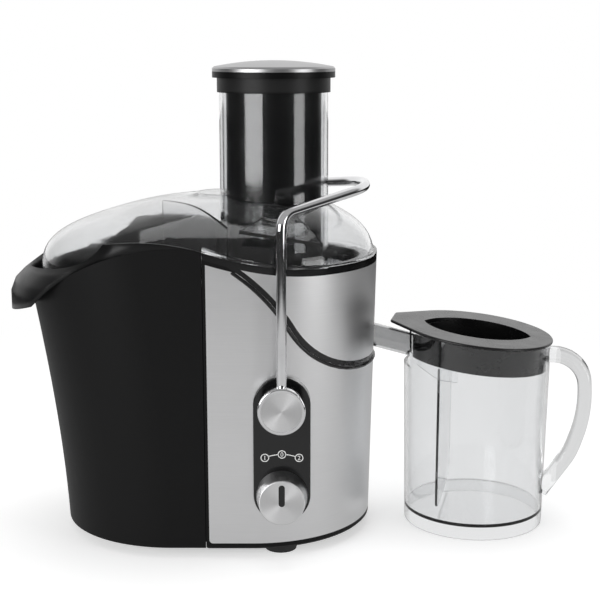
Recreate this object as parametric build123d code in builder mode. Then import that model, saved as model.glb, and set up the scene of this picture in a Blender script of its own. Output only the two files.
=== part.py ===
import os
from math import asin, atan, cos, degrees, radians, sin, sqrt, tan

from build123d import *

os.makedirs("parts", exist_ok=True)

# Driving dimensions in millimetres, angles in degrees

# Motor base: a straight front that runs into a round right end, with draft
foot_height = 8.0
body_radius = 98.5
body_draft = 1.3
seam_reach = 38.5
plate_thickness = 5.0
plate_chamfer = 1.6
vent_radius = 29.0
vent_count = 12
vent_length = 20.0
vent_width = 4.5
housing_wall = 3.0
skin_thickness = 1.0
skin_margin = 2.5
skin_corner = 3.0
skin_top_gap = 3.0
back_radius = 92.0
deck_height = 151.0
deck_thickness = 3.0
gland_x = -15.0
gland_height = 34.0
gland_radius = 8.0
gland_flange = 3.0
gland_hole = 3.5

# Swoop: the S-shaped joint between the motor base and the juice bowl
swoop_end = 101.0
swoop_height = 153.0
swoop_low_radius = 79.0
swoop_high_radius = 150.0
swoop_turn = 60.0
swoop_run = 40.0
swoop_gap = 4.0
gasket_depth = 2.2

# Rim: the arched line on which the lid sits
rim_height = 239.0
rim_thickness = 5.5
crest_reach = 90.0
crest_rise = 23.0
crest_radius = 180.0
crest_blend = 17.5
crest_run = 48.0

# Pulp bin: a crescent that hugs the round motor base
bin_foot_reach = 165.5
bin_flare = 34.0
bin_flare_power = 1.5
bin_rise = 16.0
bin_wall = 2.5
bin_floor_gap = 0.5
bin_floor = 2.5
bin_clearance = 0.5
bin_lift = 1.0
bin_inner_drop = 5.0
collar_crest_reach = 60.0
collar_drop = 4.5
collar_radius = 162.0
collar_start = 70.0
collar_end_reach = 180.0
lip_reach = 209.0
lip_fall = 46.0
lip_edge = 16.0
lip_shoulder_reach = 205.0
lip_shoulder_rise = 10.0
lip_rim_reach = 196.0
lip_rim_rise = 19.0
lip_top_reach = 172.0
tongue_reach = 148.0
tongue_half_width = 62.0
tongue_corner = 18.0

# Juice bowl
bowl_radius = 88.5
bowl_wall = 2.5
bowl_gap = 0.8
bowl_floor = 3.0
bowl_floor_height = 158.0
bowl_floor_fall = 4.0
bowl_edge_drop = 17.0
bowl_edge_thickness = 3.0
bowl_edge_overhang = 6.0
chimney_radius = 23.0
chimney_height = 15.0
shroud_thickness = 2.0

# Juice spout
spout_radius = 10.0
spout_wall = 2.0
spout_entry_height = 169.5
spout_reach = 137.0
spout_slope = 15.0
spout_collar = 2.3
spout_flange = 2.0
spout_flange_distance = 6.5

# Lid and feed chute
lid_wall = 2.5
lid_left = 181.0
lid_right = 101.5
lid_half_width = 99.5
lid_sink = 1.0
lid_rise = 54.0
lid_ridge_left = 30.0
lid_left_power = 0.72
lid_gap = 1.5
lid_skirt = 19.0
flange_thickness = 2.5
chute_offset = 16.0
chute_bore = 42.5
chute_wall = 3.3
chute_rise = 147.0
chute_bottom = 184.0
ledge_length = 66.0
ledge_reach = 99.0
ledge_depth = 48.0
ledge_rise = 27.0
ledge_slope = 20.0
ledge_tilt = 9.0
ledge_thickness = 3.0
ledge_angle = 60.0
guide_distance = 68.0
guide_length = 80.0
guide_thickness = 2.0
guide_rise = 4.0

# Plunger
plunger_radius = 40.0
plunger_wall = 2.5
plunger_bottom = 188.0
plunger_skirt_wall = 1.4
plunger_skirt_length = 12.0
plunger_skirt_gap = 0.4
plunger_flange_radius = 51.5
plunger_flange = 5.0
cap_rim = 4.0
cap_dome = 5.0
cap_edge = 1.5
rest_gap = 0.2

# Basket
basket_floor = 172.0
sieve_low_radius = 66.0
sieve_high_radius = 79.0
sieve_wall = 1.0
sieve_slots = 30
sieve_slot_width = 3.0
sieve_slot_margin = 6.0
sieve_slot_reach = 16.0
basket_ring_overhang = 4.0
basket_ring_height = 6.0
grater_thickness = 1.5
grater_teeth_rings = 3
tooth_height = 1.8
tooth_length = 4.0
tooth_width = 1.6
tooth_pitch = 15.0
tooth_taper = 20.0
teeth_per_ring = 6
hub_radius = 19.5
hub_depth = 15.0
hub_web = 3.0

# Drive train
shaft_radius = 4.0
shaft_low = 27.0
shaft_grip = 10.0
coupling_radius = 12.0
coupling_height = 14.0
coupling_lobes = 6
coupling_lobe = 2.5
coupling_flange = 3.0
coupling_hole_gap = 1.3
armature_radius = 23.0
armature_low = 58.0
armature_height = 44.0
armature_slots = 12
armature_slot_depth = 6.0
armature_slot_width = 3.0
commutator_radius = 11.0
commutator_height = 13.0
air_gap = 0.8
stator_half = 42.0
stator_corner = 12.0
coil_width = 11.0
coil_overhang = 8.0
coil_end_gap = 1.0
bracket_thickness = 6.0
lower_bracket_height = 30.0
upper_bracket_height = 124.0
bracket_half = 46.0
bracket_vent_distance = 28.0
bracket_vent_length = 18.0
bracket_vent_width = 9.0
bearing_radius = 11.0
bearing_gap = 0.05
pillar_radius = 3.0
pillar_spacing = 70.0
pillar_seat = 6.0
mount_radius = 7.0
fan_radius = 36.0
fan_blades = 9
fan_height = 9.0
fan_web = 2.0
fan_gap = 2.0
blade_distance = 22.0
blade_length = 25.0
blade_angle = 24.0
brush_size = 7.0
brush_length = 14.0
brush_top_gap = 2.0

# Controls on the front
control_x = 23.5
pivot_height = 131.0
knob_height = 56.0
pad_radius = 23.0
pad_plane = 103.0
pad_edge = 1.0
ring_radius = 19.0
ring_length = 19.0
ring_edge = 1.2
rod_grip = 7.0
ring_recess = 2.4
ring_recess_radius = 16.4
cap_thickness = 2.0
pin_radius = 6.0
pin_length = 20.0
turning_gap = 0.3
knob_base_radius = 21.0
knob_face_radius = 18.4
knob_length = 18.5
knob_fillet = 1.2
pointer_length = 18.0
pointer_width = 5.0
pointer_depth = 1.0
pointer_rise = 6.0
knob_shaft_radius = 3.0
knob_shaft_length = 20.0
knob_shaft_grip = 6.0
switch_size = 28.0
switch_depth = 22.0
switch_corner = 2.0
switch_stand_width = 17.0
switch_stand_depth = 13.0
interlock_distance = 70.0
interlock_length = 20.0
interlock_width = 9.0
interlock_height = 12.0
terminal_length = 4.0
terminal_thickness = 1.0
terminal_pitch = 6.0

# Lock arm: a bent rod that swings over the lid
rod_radius = 4.0
elbow_rise = 46.0
elbow_radius = 13.0
nose_reach = 93.0
nose_half = 27.0
nose_rise = 58.0
nose_radius = 60.0

# Feet
foot_radius = 15.0
foot_draft_inset = 2.0
foot_stud = 4.0
foot_right_x = 22.0
foot_right_y = 74.0
foot_left_x = -118.0
foot_left_y = 45.0

# Jug
jug_distance = 192.0
jug_foot_radius = 60.5
jug_rim_radius = 63.5
jug_wall = 2.5
jug_floor_height = 11.0
jug_floor = 3.0
jug_turn = 12.0
jug_notch_width = 64.0
jug_notch_low = 141.0
handle_reach = 99.5
handle_thickness = 12.0
handle_width = 19.0
handle_high = 151.5
handle_low = 29.0
handle_lean = 4.0
handle_bend_drop = 50.0
handle_waist = 12.0
handle_waist_rise = 36.0
handle_top_radius = 26.0
handle_back_radius = 120.0
handle_low_radius = 60.0
handle_round = 4.0
jug_lid_height = 171.0
jug_lid_slope = 6.2
jug_flange = 2.6
jug_lid_radius = 65.0
jug_beak_reach = 74.0
jug_beak_half = 18.0
jug_beak_corner = 4.0
jug_lid_edge = 1.2
jug_skirt_depth = 25.5
jug_skirt_gap = 0.5
jug_skirt_wall = 2.2
dish_length = 92.0
dish_width = 70.0
dish_floor_height = 150.0
dish_wall = 2.5
separator_offset = 27.0
separator_thickness = 2.0
separator_low = 22.0
separator_corner = 8.0

# Wings of the separator, which hang inside the jug lid's skirt
wing_wall = 1.4
wing_gap = 0.3
wing_reach = 52.0
wing_end = 11.0
wing_low = 136.5
wing_high = 147.0
wing_top = 155.0

# Places worked out from the sizes above
far = 400.0
crest_height = rim_height + crest_rise
bin_height = rim_height + bin_rise
collar_crest_height = crest_height - collar_drop
lip_drop = rim_height - lip_fall
lid_spring = rim_height - lid_sink
chute_top = rim_height + chute_rise
ledge_height = rim_height + ledge_rise
guide_low = rim_height + guide_rise
elbow_height = rim_height + elbow_rise
nose_height = rim_height + nose_rise
bowl_edge_height = rim_height - bowl_edge_drop
sieve_top = bowl_edge_height
bin_inner_height = bowl_edge_height - bin_inner_drop
handle_side = (handle_width / 2 - handle_round) * sin(radians(jug_turn))
jug_reach = (handle_reach - handle_round) * cos(radians(jug_turn)) + handle_side + handle_round
axis_x = (lip_reach - jug_distance - jug_reach) / 2
chute_x = axis_x + chute_offset
jug_x = axis_x + jug_distance
plate_top = foot_height + plate_thickness
arm_plane = pad_plane + ring_length / 2

front = Plane((axis_x, 0, 0), x_dir=(1, 0, 0), z_dir=(0, -1, 0))
jug_ahead = Vector(cos(radians(jug_turn)), -sin(radians(jug_turn)), 0)
jug_aside = Vector(sin(radians(jug_turn)), cos(radians(jug_turn)), 0)
jug_front = Plane((jug_x, 0, 0), x_dir=jug_ahead, z_dir=-jug_aside)
motor_axis = Axis((axis_x, 0, 0), (0, 0, 1))
chute_axis = Axis((chute_x, 0, 0), (0, 0, 1))
jug_axis = Axis((jug_x, 0, 0), (0, 0, 1))
chute_front = Plane((chute_x, 0, 0), x_dir=(1, 0, 0), z_dir=(0, -1, 0))
seam_face = Plane((axis_x - seam_reach, 0, 0), z_dir=(1, 0, 0))
pivot_plane = Plane((axis_x + control_x, 0, pivot_height), x_dir=(1, 0, 0), z_dir=(0, -1, 0))
knob_plane = Plane((axis_x + control_x, 0, knob_height), x_dir=(1, 0, 0), z_dir=(0, -1, 0))
switch_plane = knob_plane.offset(pad_plane - knob_shaft_length)
gland_plane = Plane((axis_x + gland_x, 0, gland_height), x_dir=(1, 0, 0), z_dir=(0, 1, 0))


def level(height):
    """Horizontal plane with its origin on the motor axis."""
    return Plane((axis_x, 0, height))


def jug_level(height):
    """Horizontal plane with its origin on the jug's axis, turned as the jug stands."""
    return Plane((jug_x, 0, height), x_dir=jug_ahead, z_dir=(0, 0, 1))


def half_depth(height):
    """Half the body's depth, which grows upwards by the draft."""
    return body_radius + (height - foot_height) * tan(radians(body_draft))


def bin_reach(height):
    """How far the bin's left end is from the motor axis."""
    return bin_foot_reach + bin_flare * (height / bin_height) ** bin_flare_power


def body_block(inset, low, high):
    """Block with the motor base's outline, taken in by an inset, right of the seam."""
    with BuildPart() as block:
        with BuildSketch(level(low)):
            radius = half_depth(low) - inset
            with BuildLine():
                near = Line((-2 * seam_reach, -radius), (0, -radius))
                CenterArc((0, 0), radius, -90, 180)
                rear = Line((0, radius), (-2 * seam_reach, radius))
                Line(rear @ 1, near @ 0)
            make_face()
        extrude(amount=high - low, taper=-body_draft)
        split(bisect_by=seam_face, keep=Keep.TOP)
    return block.part


def above_swoop(gap):
    """Everything above the S-shaped joint, moved up square to it by a gap."""
    low_centre = Vector(swoop_end, swoop_height + swoop_low_radius)
    bend = Vector(-sin(radians(swoop_turn)), -cos(radians(swoop_turn)))
    high_centre = low_centre + bend * (swoop_low_radius + swoop_high_radius)
    with BuildPart() as prism:
        with BuildSketch(front):
            with BuildLine():
                low = CenterArc(low_centre, swoop_low_radius - gap, 270, -swoop_turn)
                high = CenterArc(high_centre, swoop_high_radius + gap, 90 - swoop_turn, swoop_run)
                top = (high @ 1).X
                Polyline(high @ 1, (top, far), (far, far), (far, swoop_height + gap), low @ 0)
            make_face()
        extrude(amount=far, both=True)
    return prism.part


def below_rim(gap):
    """Everything below the arched rim, moved up square to it by a gap."""
    fall = 1 - cos(radians(crest_blend))
    dip_radius = (crest_height - rim_height) / fall - crest_radius
    dip_x = (crest_radius + dip_radius) * sin(radians(crest_blend)) - crest_reach
    with BuildPart() as prism:
        with BuildSketch(front):
            with BuildLine():
                dip = CenterArc((dip_x, rim_height + dip_radius), dip_radius - gap, 270, -crest_blend)
                crest_centre = (-crest_reach, crest_height - crest_radius)
                crest_sweep = crest_blend + crest_run
                crest = CenterArc(crest_centre, crest_radius + gap, 90 - crest_blend, crest_sweep)
                Polyline(
                    crest @ 1,
                    (-far, (crest @ 1).Y),
                    (-far, -far),
                    (far, -far),
                    (far, rim_height + gap),
                    dip @ 0,
                )
            make_face()
        extrude(amount=far, both=True)
    return prism.part


def below_collar():
    """Everything below the joint between the bin and its collar, out to the lip."""
    centre = (-collar_crest_reach, collar_crest_height - collar_radius)
    sweep_end = 90 + degrees(asin((collar_end_reach - collar_crest_reach) / collar_radius))
    with BuildPart() as prism:
        with BuildSketch(front):
            with BuildLine():
                arc = CenterArc(centre, collar_radius, collar_start, sweep_end - collar_start)
                Polyline(
                    arc @ 1,
                    (-lip_reach, lip_drop),
                    (-far, lip_drop),
                    (-far, -far),
                    ((arc @ 0).X, -far),
                    arc @ 0,
                )
            make_face()
        extrude(amount=far, both=True)
    return prism.part


def bin_section(height, inset, right):
    """Outline of the bin at one height: a flat right side and a round left end."""
    radius = half_depth(height) - inset
    centre = bin_reach(height) - half_depth(height)
    with BuildSketch(level(height)) as outline:
        with BuildLine():
            near = Line((-right, -radius), (-centre, -radius))
            CenterArc((-centre, 0), radius, -90, -180)
            rear = Line((-centre, radius), (-right, radius))
            Line(rear @ 1, near @ 0)
        make_face()
    return outline.sketch


def dome(inset):
    """Long dome of the lid: stadium outlines that shrink on ellipse-like curves."""
    shares = (0, 0.3, 0.55, 0.75, 0.88, 0.97)
    outlines = [(lid_spring - lid_skirt - inset, 0)]
    outlines = outlines + [(lid_spring + lid_rise * share - inset, share) for share in shares]
    with BuildPart() as block:
        for height, share in outlines:
            shrink = 1 - share**2
            half = lid_half_width * sqrt(shrink) - inset
            right = lid_right * sqrt(shrink) - inset
            left = lid_ridge_left + (lid_left - lid_ridge_left) * shrink**lid_left_power - inset
            with BuildSketch(level(height)):
                with Locations(((right - left) / 2, 0)):
                    SlotCenterToCenter(right + left - 2 * half, 2 * half)
        loft()
    return block.part


def disc(plane, radius, amount):
    """Round block on a plane."""
    with BuildPart() as block:
        with BuildSketch(plane):
            Circle(radius)
        extrude(amount=amount)
    return block.part


def write(piece, name):
    """Label a finished piece and write it to its own file."""
    piece.part.label = name
    export_step(piece.part, f"parts/{name}.step")


# Motor base

body = body_block(0, foot_height, crest_height)
body_inside_skin = body_block(skin_thickness, foot_height, crest_height)
body_inside_gasket = body_block(gasket_depth, foot_height, crest_height)
body_inside_shroud = body_block(shroud_thickness, foot_height, crest_height)
above_high_edge = above_swoop(swoop_gap / 2)
above_low_edge = above_swoop(-swoop_gap / 2)
under_rim = below_rim(0)
under_band = below_rim(-rim_thickness)
under_skin_top = below_rim(-rim_thickness - skin_top_gap)

with BuildPart() as base_plate:
    add(body_block(0, foot_height, plate_top))
    chamfer(base_plate.faces().sort_by(Axis.Z)[0].outer_wire().edges(), plate_chamfer)
    with BuildSketch(level(plate_top)):
        Circle(back_radius)
    extrude(amount=-plate_thickness)
    with BuildSketch(level(plate_top)):
        with Locations((-tongue_reach / 2, 0)):
            RectangleRounded(tongue_reach, 2 * tongue_half_width, tongue_corner)
    extrude(amount=-plate_thickness)
    with BuildSketch(level(plate_top)):
        with PolarLocations(vent_radius, vent_count):
            SlotOverall(vent_length, vent_width)
    extrude(amount=-plate_thickness, mode=Mode.SUBTRACT)
    foot_places = [(foot_right_x, foot_right_y), (foot_left_x, foot_left_y)]
    foot_places = foot_places + [(x, -y) for x, y in foot_places]
    with BuildSketch(level(plate_top)):
        with Locations(*foot_places):
            Circle(foot_stud)
    extrude(amount=-plate_thickness, mode=Mode.SUBTRACT)
write(base_plate, "base_plate")

with BuildPart() as feet:
    with BuildSketch(level(0)):
        with Locations(*foot_places):
            Circle(foot_radius - foot_draft_inset)
    extrude(amount=foot_height, taper=-degrees(atan(foot_draft_inset / foot_height)))
    with BuildSketch(level(foot_height)):
        with Locations(*foot_places):
            Circle(foot_stud)
    extrude(amount=plate_thickness)
write(feet, "feet")

with BuildPart() as skin_window:
    with BuildSketch(front):
        with Locations((far / 2 - seam_reach + skin_margin, (plate_top + crest_height) / 2)):
            RectangleRounded(far, crest_height - plate_top, skin_corner)
    extrude(amount=far, both=True)
    add(above_low_edge, mode=Mode.SUBTRACT)
    add(under_skin_top, mode=Mode.INTERSECT)

with BuildPart() as housing_skin:
    add(body)
    add(body_inside_skin, mode=Mode.SUBTRACT)
    add(skin_window.part, mode=Mode.INTERSECT)
    with BuildSketch(pivot_plane):
        Circle(pin_radius + turning_gap)
    extrude(amount=far, both=True, mode=Mode.SUBTRACT)
    with BuildSketch(knob_plane):
        Circle(knob_shaft_radius + turning_gap)
    extrude(amount=far, mode=Mode.SUBTRACT)
    with BuildSketch(gland_plane):
        Circle(gland_radius)
    extrude(amount=far, mode=Mode.SUBTRACT)
write(housing_skin, "housing_skin")

bowl_outer = bowl_radius + bowl_wall
bay_ceiling = deck_height - deck_thickness
shell_inset = skin_thickness + housing_wall
round_back = disc(level(plate_top), back_radius, deck_height - plate_top)
round_bay = disc(level(plate_top), back_radius - housing_wall, bay_ceiling - plate_top)
bowl_room = disc(level(deck_height), bowl_outer + bowl_gap, far)
drawn_bay = body_block(shell_inset, plate_top, bay_ceiling)

with BuildPart() as motor_housing:
    add(body_block(0, plate_top, crest_height))
    add(above_low_edge, mode=Mode.SUBTRACT)
    add(under_band, mode=Mode.INTERSECT)
    add(bowl_room, mode=Mode.SUBTRACT)
    add(round_back)
    add(round_bay, mode=Mode.SUBTRACT)
    add(drawn_bay, mode=Mode.SUBTRACT)
    add(housing_skin.part, mode=Mode.SUBTRACT)
    with BuildSketch(level(deck_height)):
        Circle(coupling_radius + coupling_hole_gap)
    extrude(amount=-deck_thickness, mode=Mode.SUBTRACT)
    with BuildSketch(pivot_plane):
        Circle(pin_radius + turning_gap)
    extrude(amount=far, both=True, mode=Mode.SUBTRACT)
    with BuildSketch(knob_plane):
        Circle(knob_shaft_radius + turning_gap)
    extrude(amount=far, mode=Mode.SUBTRACT)
    with BuildSketch(gland_plane):
        Circle(gland_radius)
    extrude(amount=far, mode=Mode.SUBTRACT)
write(motor_housing, "motor_housing")

with BuildPart() as seam_gasket:
    add(body)
    add(body_inside_gasket, mode=Mode.SUBTRACT)
    add(above_low_edge, mode=Mode.INTERSECT)
    add(above_high_edge, mode=Mode.SUBTRACT)
    add(under_band, mode=Mode.INTERSECT)
write(seam_gasket, "seam_gasket")

# Flat pads that carry the lock arm's pivots and the speed knob

with BuildPart() as control_pad:
    with BuildSketch(pivot_plane):
        with Locations((0, (knob_height - pivot_height) / 2)):
            SlotCenterToCenter(pivot_height - knob_height, 2 * pad_radius, rotation=90)
    extrude(amount=pad_plane)
    fillet(control_pad.faces().sort_by(Axis.Y)[0].edges(), pad_edge)
    add(body, mode=Mode.SUBTRACT)
    with BuildSketch(pivot_plane):
        Circle(pin_radius + turning_gap)
    extrude(amount=far, mode=Mode.SUBTRACT)
    with BuildSketch(knob_plane):
        Circle(knob_shaft_radius + turning_gap)
    extrude(amount=far, mode=Mode.SUBTRACT)
write(control_pad, "control_pad")

with BuildPart() as rear_pad:
    with BuildSketch(pivot_plane):
        Circle(pad_radius)
    extrude(amount=-pad_plane)
    fillet(rear_pad.faces().sort_by(Axis.Y)[-1].edges(), pad_edge)
    add(body, mode=Mode.SUBTRACT)
    with BuildSketch(pivot_plane):
        Circle(pin_radius + turning_gap)
    extrude(amount=-far, mode=Mode.SUBTRACT)
write(rear_pad, "rear_pad")

# Juice bowl, its steel shroud and the clear spout

spout_dir = (cos(radians(spout_slope)), 0, -sin(radians(spout_slope)))
spout_start = (axis_x + bowl_radius, 0, spout_entry_height)
spout_plane = Plane(spout_start, x_dir=(0, 1, 0), z_dir=spout_dir)
spout_length = (spout_reach - bowl_radius) / cos(radians(spout_slope))
right_of_seam = body_block(0, deck_height, crest_height)
floor_high = bowl_floor_height + bowl_floor_fall

with BuildPart() as bowl_left_edge:
    with BuildSketch(level(bowl_edge_height)):
        Circle(bowl_outer + bowl_edge_overhang)
        Circle(bowl_radius, mode=Mode.SUBTRACT)
    extrude(amount=bowl_edge_thickness)
    split(bisect_by=seam_face, keep=Keep.BOTTOM)

with BuildPart() as bowl_left_room:
    with BuildSketch(level(bowl_edge_height)):
        Circle(bowl_outer + bowl_edge_overhang)
    extrude(amount=far)
    split(bisect_by=seam_face, keep=Keep.BOTTOM)

with BuildPart() as juice_bowl:
    add(right_of_seam)
    add(under_rim, mode=Mode.INTERSECT)
    add(under_band, mode=Mode.SUBTRACT)
    with BuildSketch(level(deck_height)):
        Circle(bowl_outer)
    extrude(amount=far)
    add(under_rim, mode=Mode.INTERSECT)
    add(bowl_left_room.part, mode=Mode.SUBTRACT)
    with BuildSketch(front):
        with BuildLine():
            Polyline(
                (0, deck_height),
                (bowl_radius, deck_height),
                (bowl_radius, bowl_floor_height - bowl_floor),
                (chimney_radius, floor_high - bowl_floor),
                (chimney_radius, deck_height + chimney_height),
                (chimney_radius + bowl_wall, deck_height + chimney_height),
                (chimney_radius + bowl_wall, floor_high),
                (bowl_radius, bowl_floor_height),
                (bowl_radius, far),
                (0, far),
                close=True,
            )
        make_face()
    revolve(axis=motor_axis, mode=Mode.SUBTRACT)
    add(bowl_left_edge.part)
    with BuildSketch(spout_plane.offset(-2 * bowl_wall)):
        Circle(spout_radius)
    extrude(amount=spout_length, mode=Mode.SUBTRACT)
write(juice_bowl, "juice_bowl")

with BuildPart() as bowl_shroud:
    add(right_of_seam)
    add(body_inside_shroud, mode=Mode.SUBTRACT)
    add(above_high_edge, mode=Mode.INTERSECT)
    add(under_band, mode=Mode.INTERSECT)
    with BuildSketch(spout_plane):
        Circle(spout_radius + spout_collar)
    extrude(amount=spout_length, mode=Mode.SUBTRACT)
write(bowl_shroud, "bowl_shroud")

with BuildPart() as juice_spout:
    with BuildSketch(spout_plane.offset(-bowl_wall)):
        Circle(spout_radius)
    extrude(amount=spout_length + bowl_wall)
    with BuildSketch(spout_plane.offset(spout_flange_distance)):
        Circle(spout_radius + spout_collar - turning_gap)
    extrude(amount=spout_flange)
    with BuildSketch(spout_plane.offset(-2 * bowl_wall)):
        Circle(spout_radius - spout_wall)
    extrude(amount=spout_length + 4 * bowl_wall, mode=Mode.SUBTRACT)
    split(bisect_by=Plane((axis_x + spout_reach, 0, 0), z_dir=(1, 0, 0)), keep=Keep.BOTTOM)
    with BuildSketch(level(0)):
        Circle(bowl_radius)
    extrude(amount=far, mode=Mode.SUBTRACT)
write(juice_spout, "juice_spout")

# Lid with its feed chute, the locking ledges and the guide for the pulp

dome_outside = dome(0)
dome_inside = dome(lid_wall)
chute_radius = chute_bore + chute_wall
ledge_lie = (cos(radians(ledge_tilt)), 0, -sin(radians(ledge_tilt)))
guide_foot = guide_distance / sqrt(2)

with BuildPart() as lid_flange:
    add(right_of_seam)
    add(below_rim(flange_thickness), mode=Mode.INTERSECT)
    add(under_rim, mode=Mode.SUBTRACT)

with BuildPart() as below_flange:
    add(under_rim)
    split(bisect_by=seam_face.offset(-bin_clearance), keep=Keep.TOP)

with BuildPart() as pulp_guide:
    with BuildSketch(Plane((axis_x - guide_foot, -guide_foot, guide_low))):
        Rectangle(guide_length, guide_thickness, rotation=-45)
    extrude(amount=lid_rise)
    add(dome_outside, mode=Mode.INTERSECT)

with BuildPart() as ledges:
    for side in (-1, 1):
        up_slope = (0, -side * cos(radians(ledge_slope)), sin(radians(ledge_slope)))
        square = Vector(ledge_lie).cross(Vector(up_slope)) * -side
        with BuildSketch(Plane((axis_x + control_x, side * ledge_reach, ledge_height), ledge_lie, square)):
            with Locations((0, -side * ledge_depth / 2)):
                Trapezoid(ledge_length, ledge_depth, ledge_angle, rotation=0 if side < 0 else 180)
        extrude(amount=-ledge_thickness)

with BuildPart() as lid:
    add(dome_outside)
    add(lid_flange.part)
    add(dome_inside, mode=Mode.SUBTRACT)
    add(below_flange.part, mode=Mode.SUBTRACT)
    add(pulp_guide.part)
    add(ledges.part)
    with BuildSketch(Plane((chute_x, 0, chute_bottom))):
        Circle(chute_radius)
    extrude(amount=chute_top - chute_bottom)
    with BuildSketch(Plane((chute_x, 0, chute_bottom))):
        Circle(chute_bore)
    extrude(amount=chute_top - chute_bottom, mode=Mode.SUBTRACT)
write(lid, "lid")

# Plunger

seat = chute_top + rest_gap
flange_top = seat + plunger_flange
skirt_inside = chute_radius + plunger_skirt_gap
skirt_outside = skirt_inside + plunger_skirt_wall
skirt_end = seat - plunger_skirt_length

with BuildPart() as plunger:
    with BuildSketch(chute_front):
        with BuildLine():
            Polyline(
                (0, plunger_bottom),
                (plunger_radius, plunger_bottom),
                (plunger_radius, seat),
                (skirt_inside, seat),
                (skirt_inside, skirt_end),
                (skirt_outside, skirt_end),
                (skirt_outside, seat),
                (plunger_flange_radius, seat),
                (plunger_flange_radius, flange_top),
                (plunger_radius - plunger_wall, flange_top),
                (plunger_radius - plunger_wall, plunger_bottom + plunger_wall),
                (0, plunger_bottom + plunger_wall),
                close=True,
            )
        make_face()
    revolve(axis=chute_axis)
    fillet(plunger.edges().filter_by(GeomType.CIRCLE).group_by(Axis.Z)[0], plunger_wall)
write(plunger, "plunger")

cap_shoulder = flange_top + cap_rim
dome_edge = plunger_flange_radius - cap_edge
dome_radius = (dome_edge**2 + cap_dome**2) / (2 * cap_dome)
dome_angle = degrees(asin(dome_edge / dome_radius))

with BuildPart() as plunger_cap:
    with BuildSketch(chute_front):
        with BuildLine():
            dome_centre = (0, cap_shoulder + cap_dome - dome_radius)
            crown = CenterArc(dome_centre, dome_radius, 90 - dome_angle, dome_angle)
            Polyline(
                crown @ 1,
                (0, flange_top),
                (plunger_flange_radius, flange_top),
                (plunger_flange_radius, cap_shoulder - cap_edge),
                crown @ 0,
            )
        make_face()
    revolve(axis=chute_axis)
write(plunger_cap, "plunger_cap")

# Basket: hub, grater disc, sieve and rim ring

grater_top = basket_floor + grater_thickness

with BuildPart() as basket_hub:
    with BuildSketch(level(basket_floor - hub_depth)):
        Circle(hub_radius)
    extrude(amount=hub_depth)
    with BuildSketch(level(basket_floor - hub_web)):
        Circle(sieve_low_radius - 2 * sieve_wall)
    extrude(amount=hub_web)
    with BuildSketch(level(basket_floor - hub_depth)):
        Circle(coupling_radius)
        with PolarLocations(coupling_radius, coupling_lobes):
            Circle(coupling_lobe)
    extrude(amount=coupling_height - coupling_flange, mode=Mode.SUBTRACT)
write(basket_hub, "basket_hub")

with BuildPart() as grater_disc:
    with BuildSketch(level(basket_floor)):
        Circle(sieve_low_radius)
    extrude(amount=grater_thickness)
    for number in range(grater_teeth_rings):
        with BuildSketch(level(grater_top)):
            with PolarLocations(hub_radius + number * tooth_pitch, teeth_per_ring * (number + 1)):
                Rectangle(tooth_width, tooth_length)
        extrude(amount=tooth_height, taper=tooth_taper)
write(grater_disc, "grater_disc")

with BuildPart() as sieve:
    with BuildSketch(front):
        with BuildLine():
            Polyline(
                (sieve_low_radius, basket_floor),
                (sieve_low_radius + sieve_wall, basket_floor),
                (sieve_low_radius + sieve_wall, grater_top),
                (sieve_high_radius + sieve_wall, sieve_top),
                (sieve_high_radius, sieve_top),
                (sieve_low_radius, grater_top),
                close=True,
            )
        make_face()
    revolve(axis=motor_axis)
    with BuildSketch(level(grater_top + sieve_slot_margin)):
        with PolarLocations(sieve_high_radius, sieve_slots):
            Rectangle(2 * sieve_slot_reach, sieve_slot_width)
    extrude(amount=sieve_top - grater_top - 2 * sieve_slot_margin, mode=Mode.SUBTRACT)
write(sieve, "sieve")

with BuildPart() as basket_ring:
    with BuildSketch(front):
        with BuildLine():
            Polyline(
                (sieve_high_radius - basket_ring_overhang, sieve_top),
                (sieve_high_radius + sieve_wall + basket_ring_overhang, sieve_top),
                (sieve_high_radius + sieve_wall + basket_ring_overhang, sieve_top + basket_ring_height / 2),
                (sieve_high_radius + sieve_wall, sieve_top + basket_ring_height),
                (sieve_high_radius - basket_ring_overhang, sieve_top + basket_ring_height / 2),
                close=True,
            )
        make_face()
    revolve(axis=motor_axis)
write(basket_ring, "basket_ring")

# Motor

coupling_low = basket_floor - hub_depth - coupling_flange
armature_high = armature_low + armature_height
fan_low = armature_high + coil_overhang + fan_gap
commutator_low = armature_low - coil_overhang - commutator_height
lower_bracket_top = lower_bracket_height + bracket_thickness
upper_bracket_top = upper_bracket_height + bracket_thickness
mount_places = GridLocations(pillar_spacing, pillar_spacing, 2, 2)

with BuildPart() as drive_coupling:
    with BuildSketch(level(coupling_low)):
        Circle(coupling_radius + coupling_lobe / 2)
    extrude(amount=coupling_flange - turning_gap)
    with BuildSketch(level(coupling_low)):
        Circle(coupling_radius - turning_gap)
        with PolarLocations(coupling_radius, coupling_lobes):
            Circle(coupling_lobe - turning_gap)
    extrude(amount=coupling_height - turning_gap)
    with BuildSketch(level(coupling_low)):
        Circle(shaft_radius)
    extrude(amount=shaft_grip, mode=Mode.SUBTRACT)
write(drive_coupling, "drive_coupling")

with BuildPart() as motor_shaft:
    with BuildSketch(level(shaft_low)):
        Circle(shaft_radius)
    extrude(amount=coupling_low + shaft_grip - shaft_low)
    chamfer(motor_shaft.faces().sort_by(Axis.Z)[0].edges(), shaft_radius / 4)
write(motor_shaft, "motor_shaft")

with BuildPart() as armature:
    with BuildSketch(level(armature_low)):
        Circle(armature_radius)
        Circle(shaft_radius, mode=Mode.SUBTRACT)
        with PolarLocations(armature_radius, armature_slots):
            Rectangle(2 * armature_slot_depth, armature_slot_width, mode=Mode.SUBTRACT)
    extrude(amount=armature_height)
write(armature, "armature")

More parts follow.
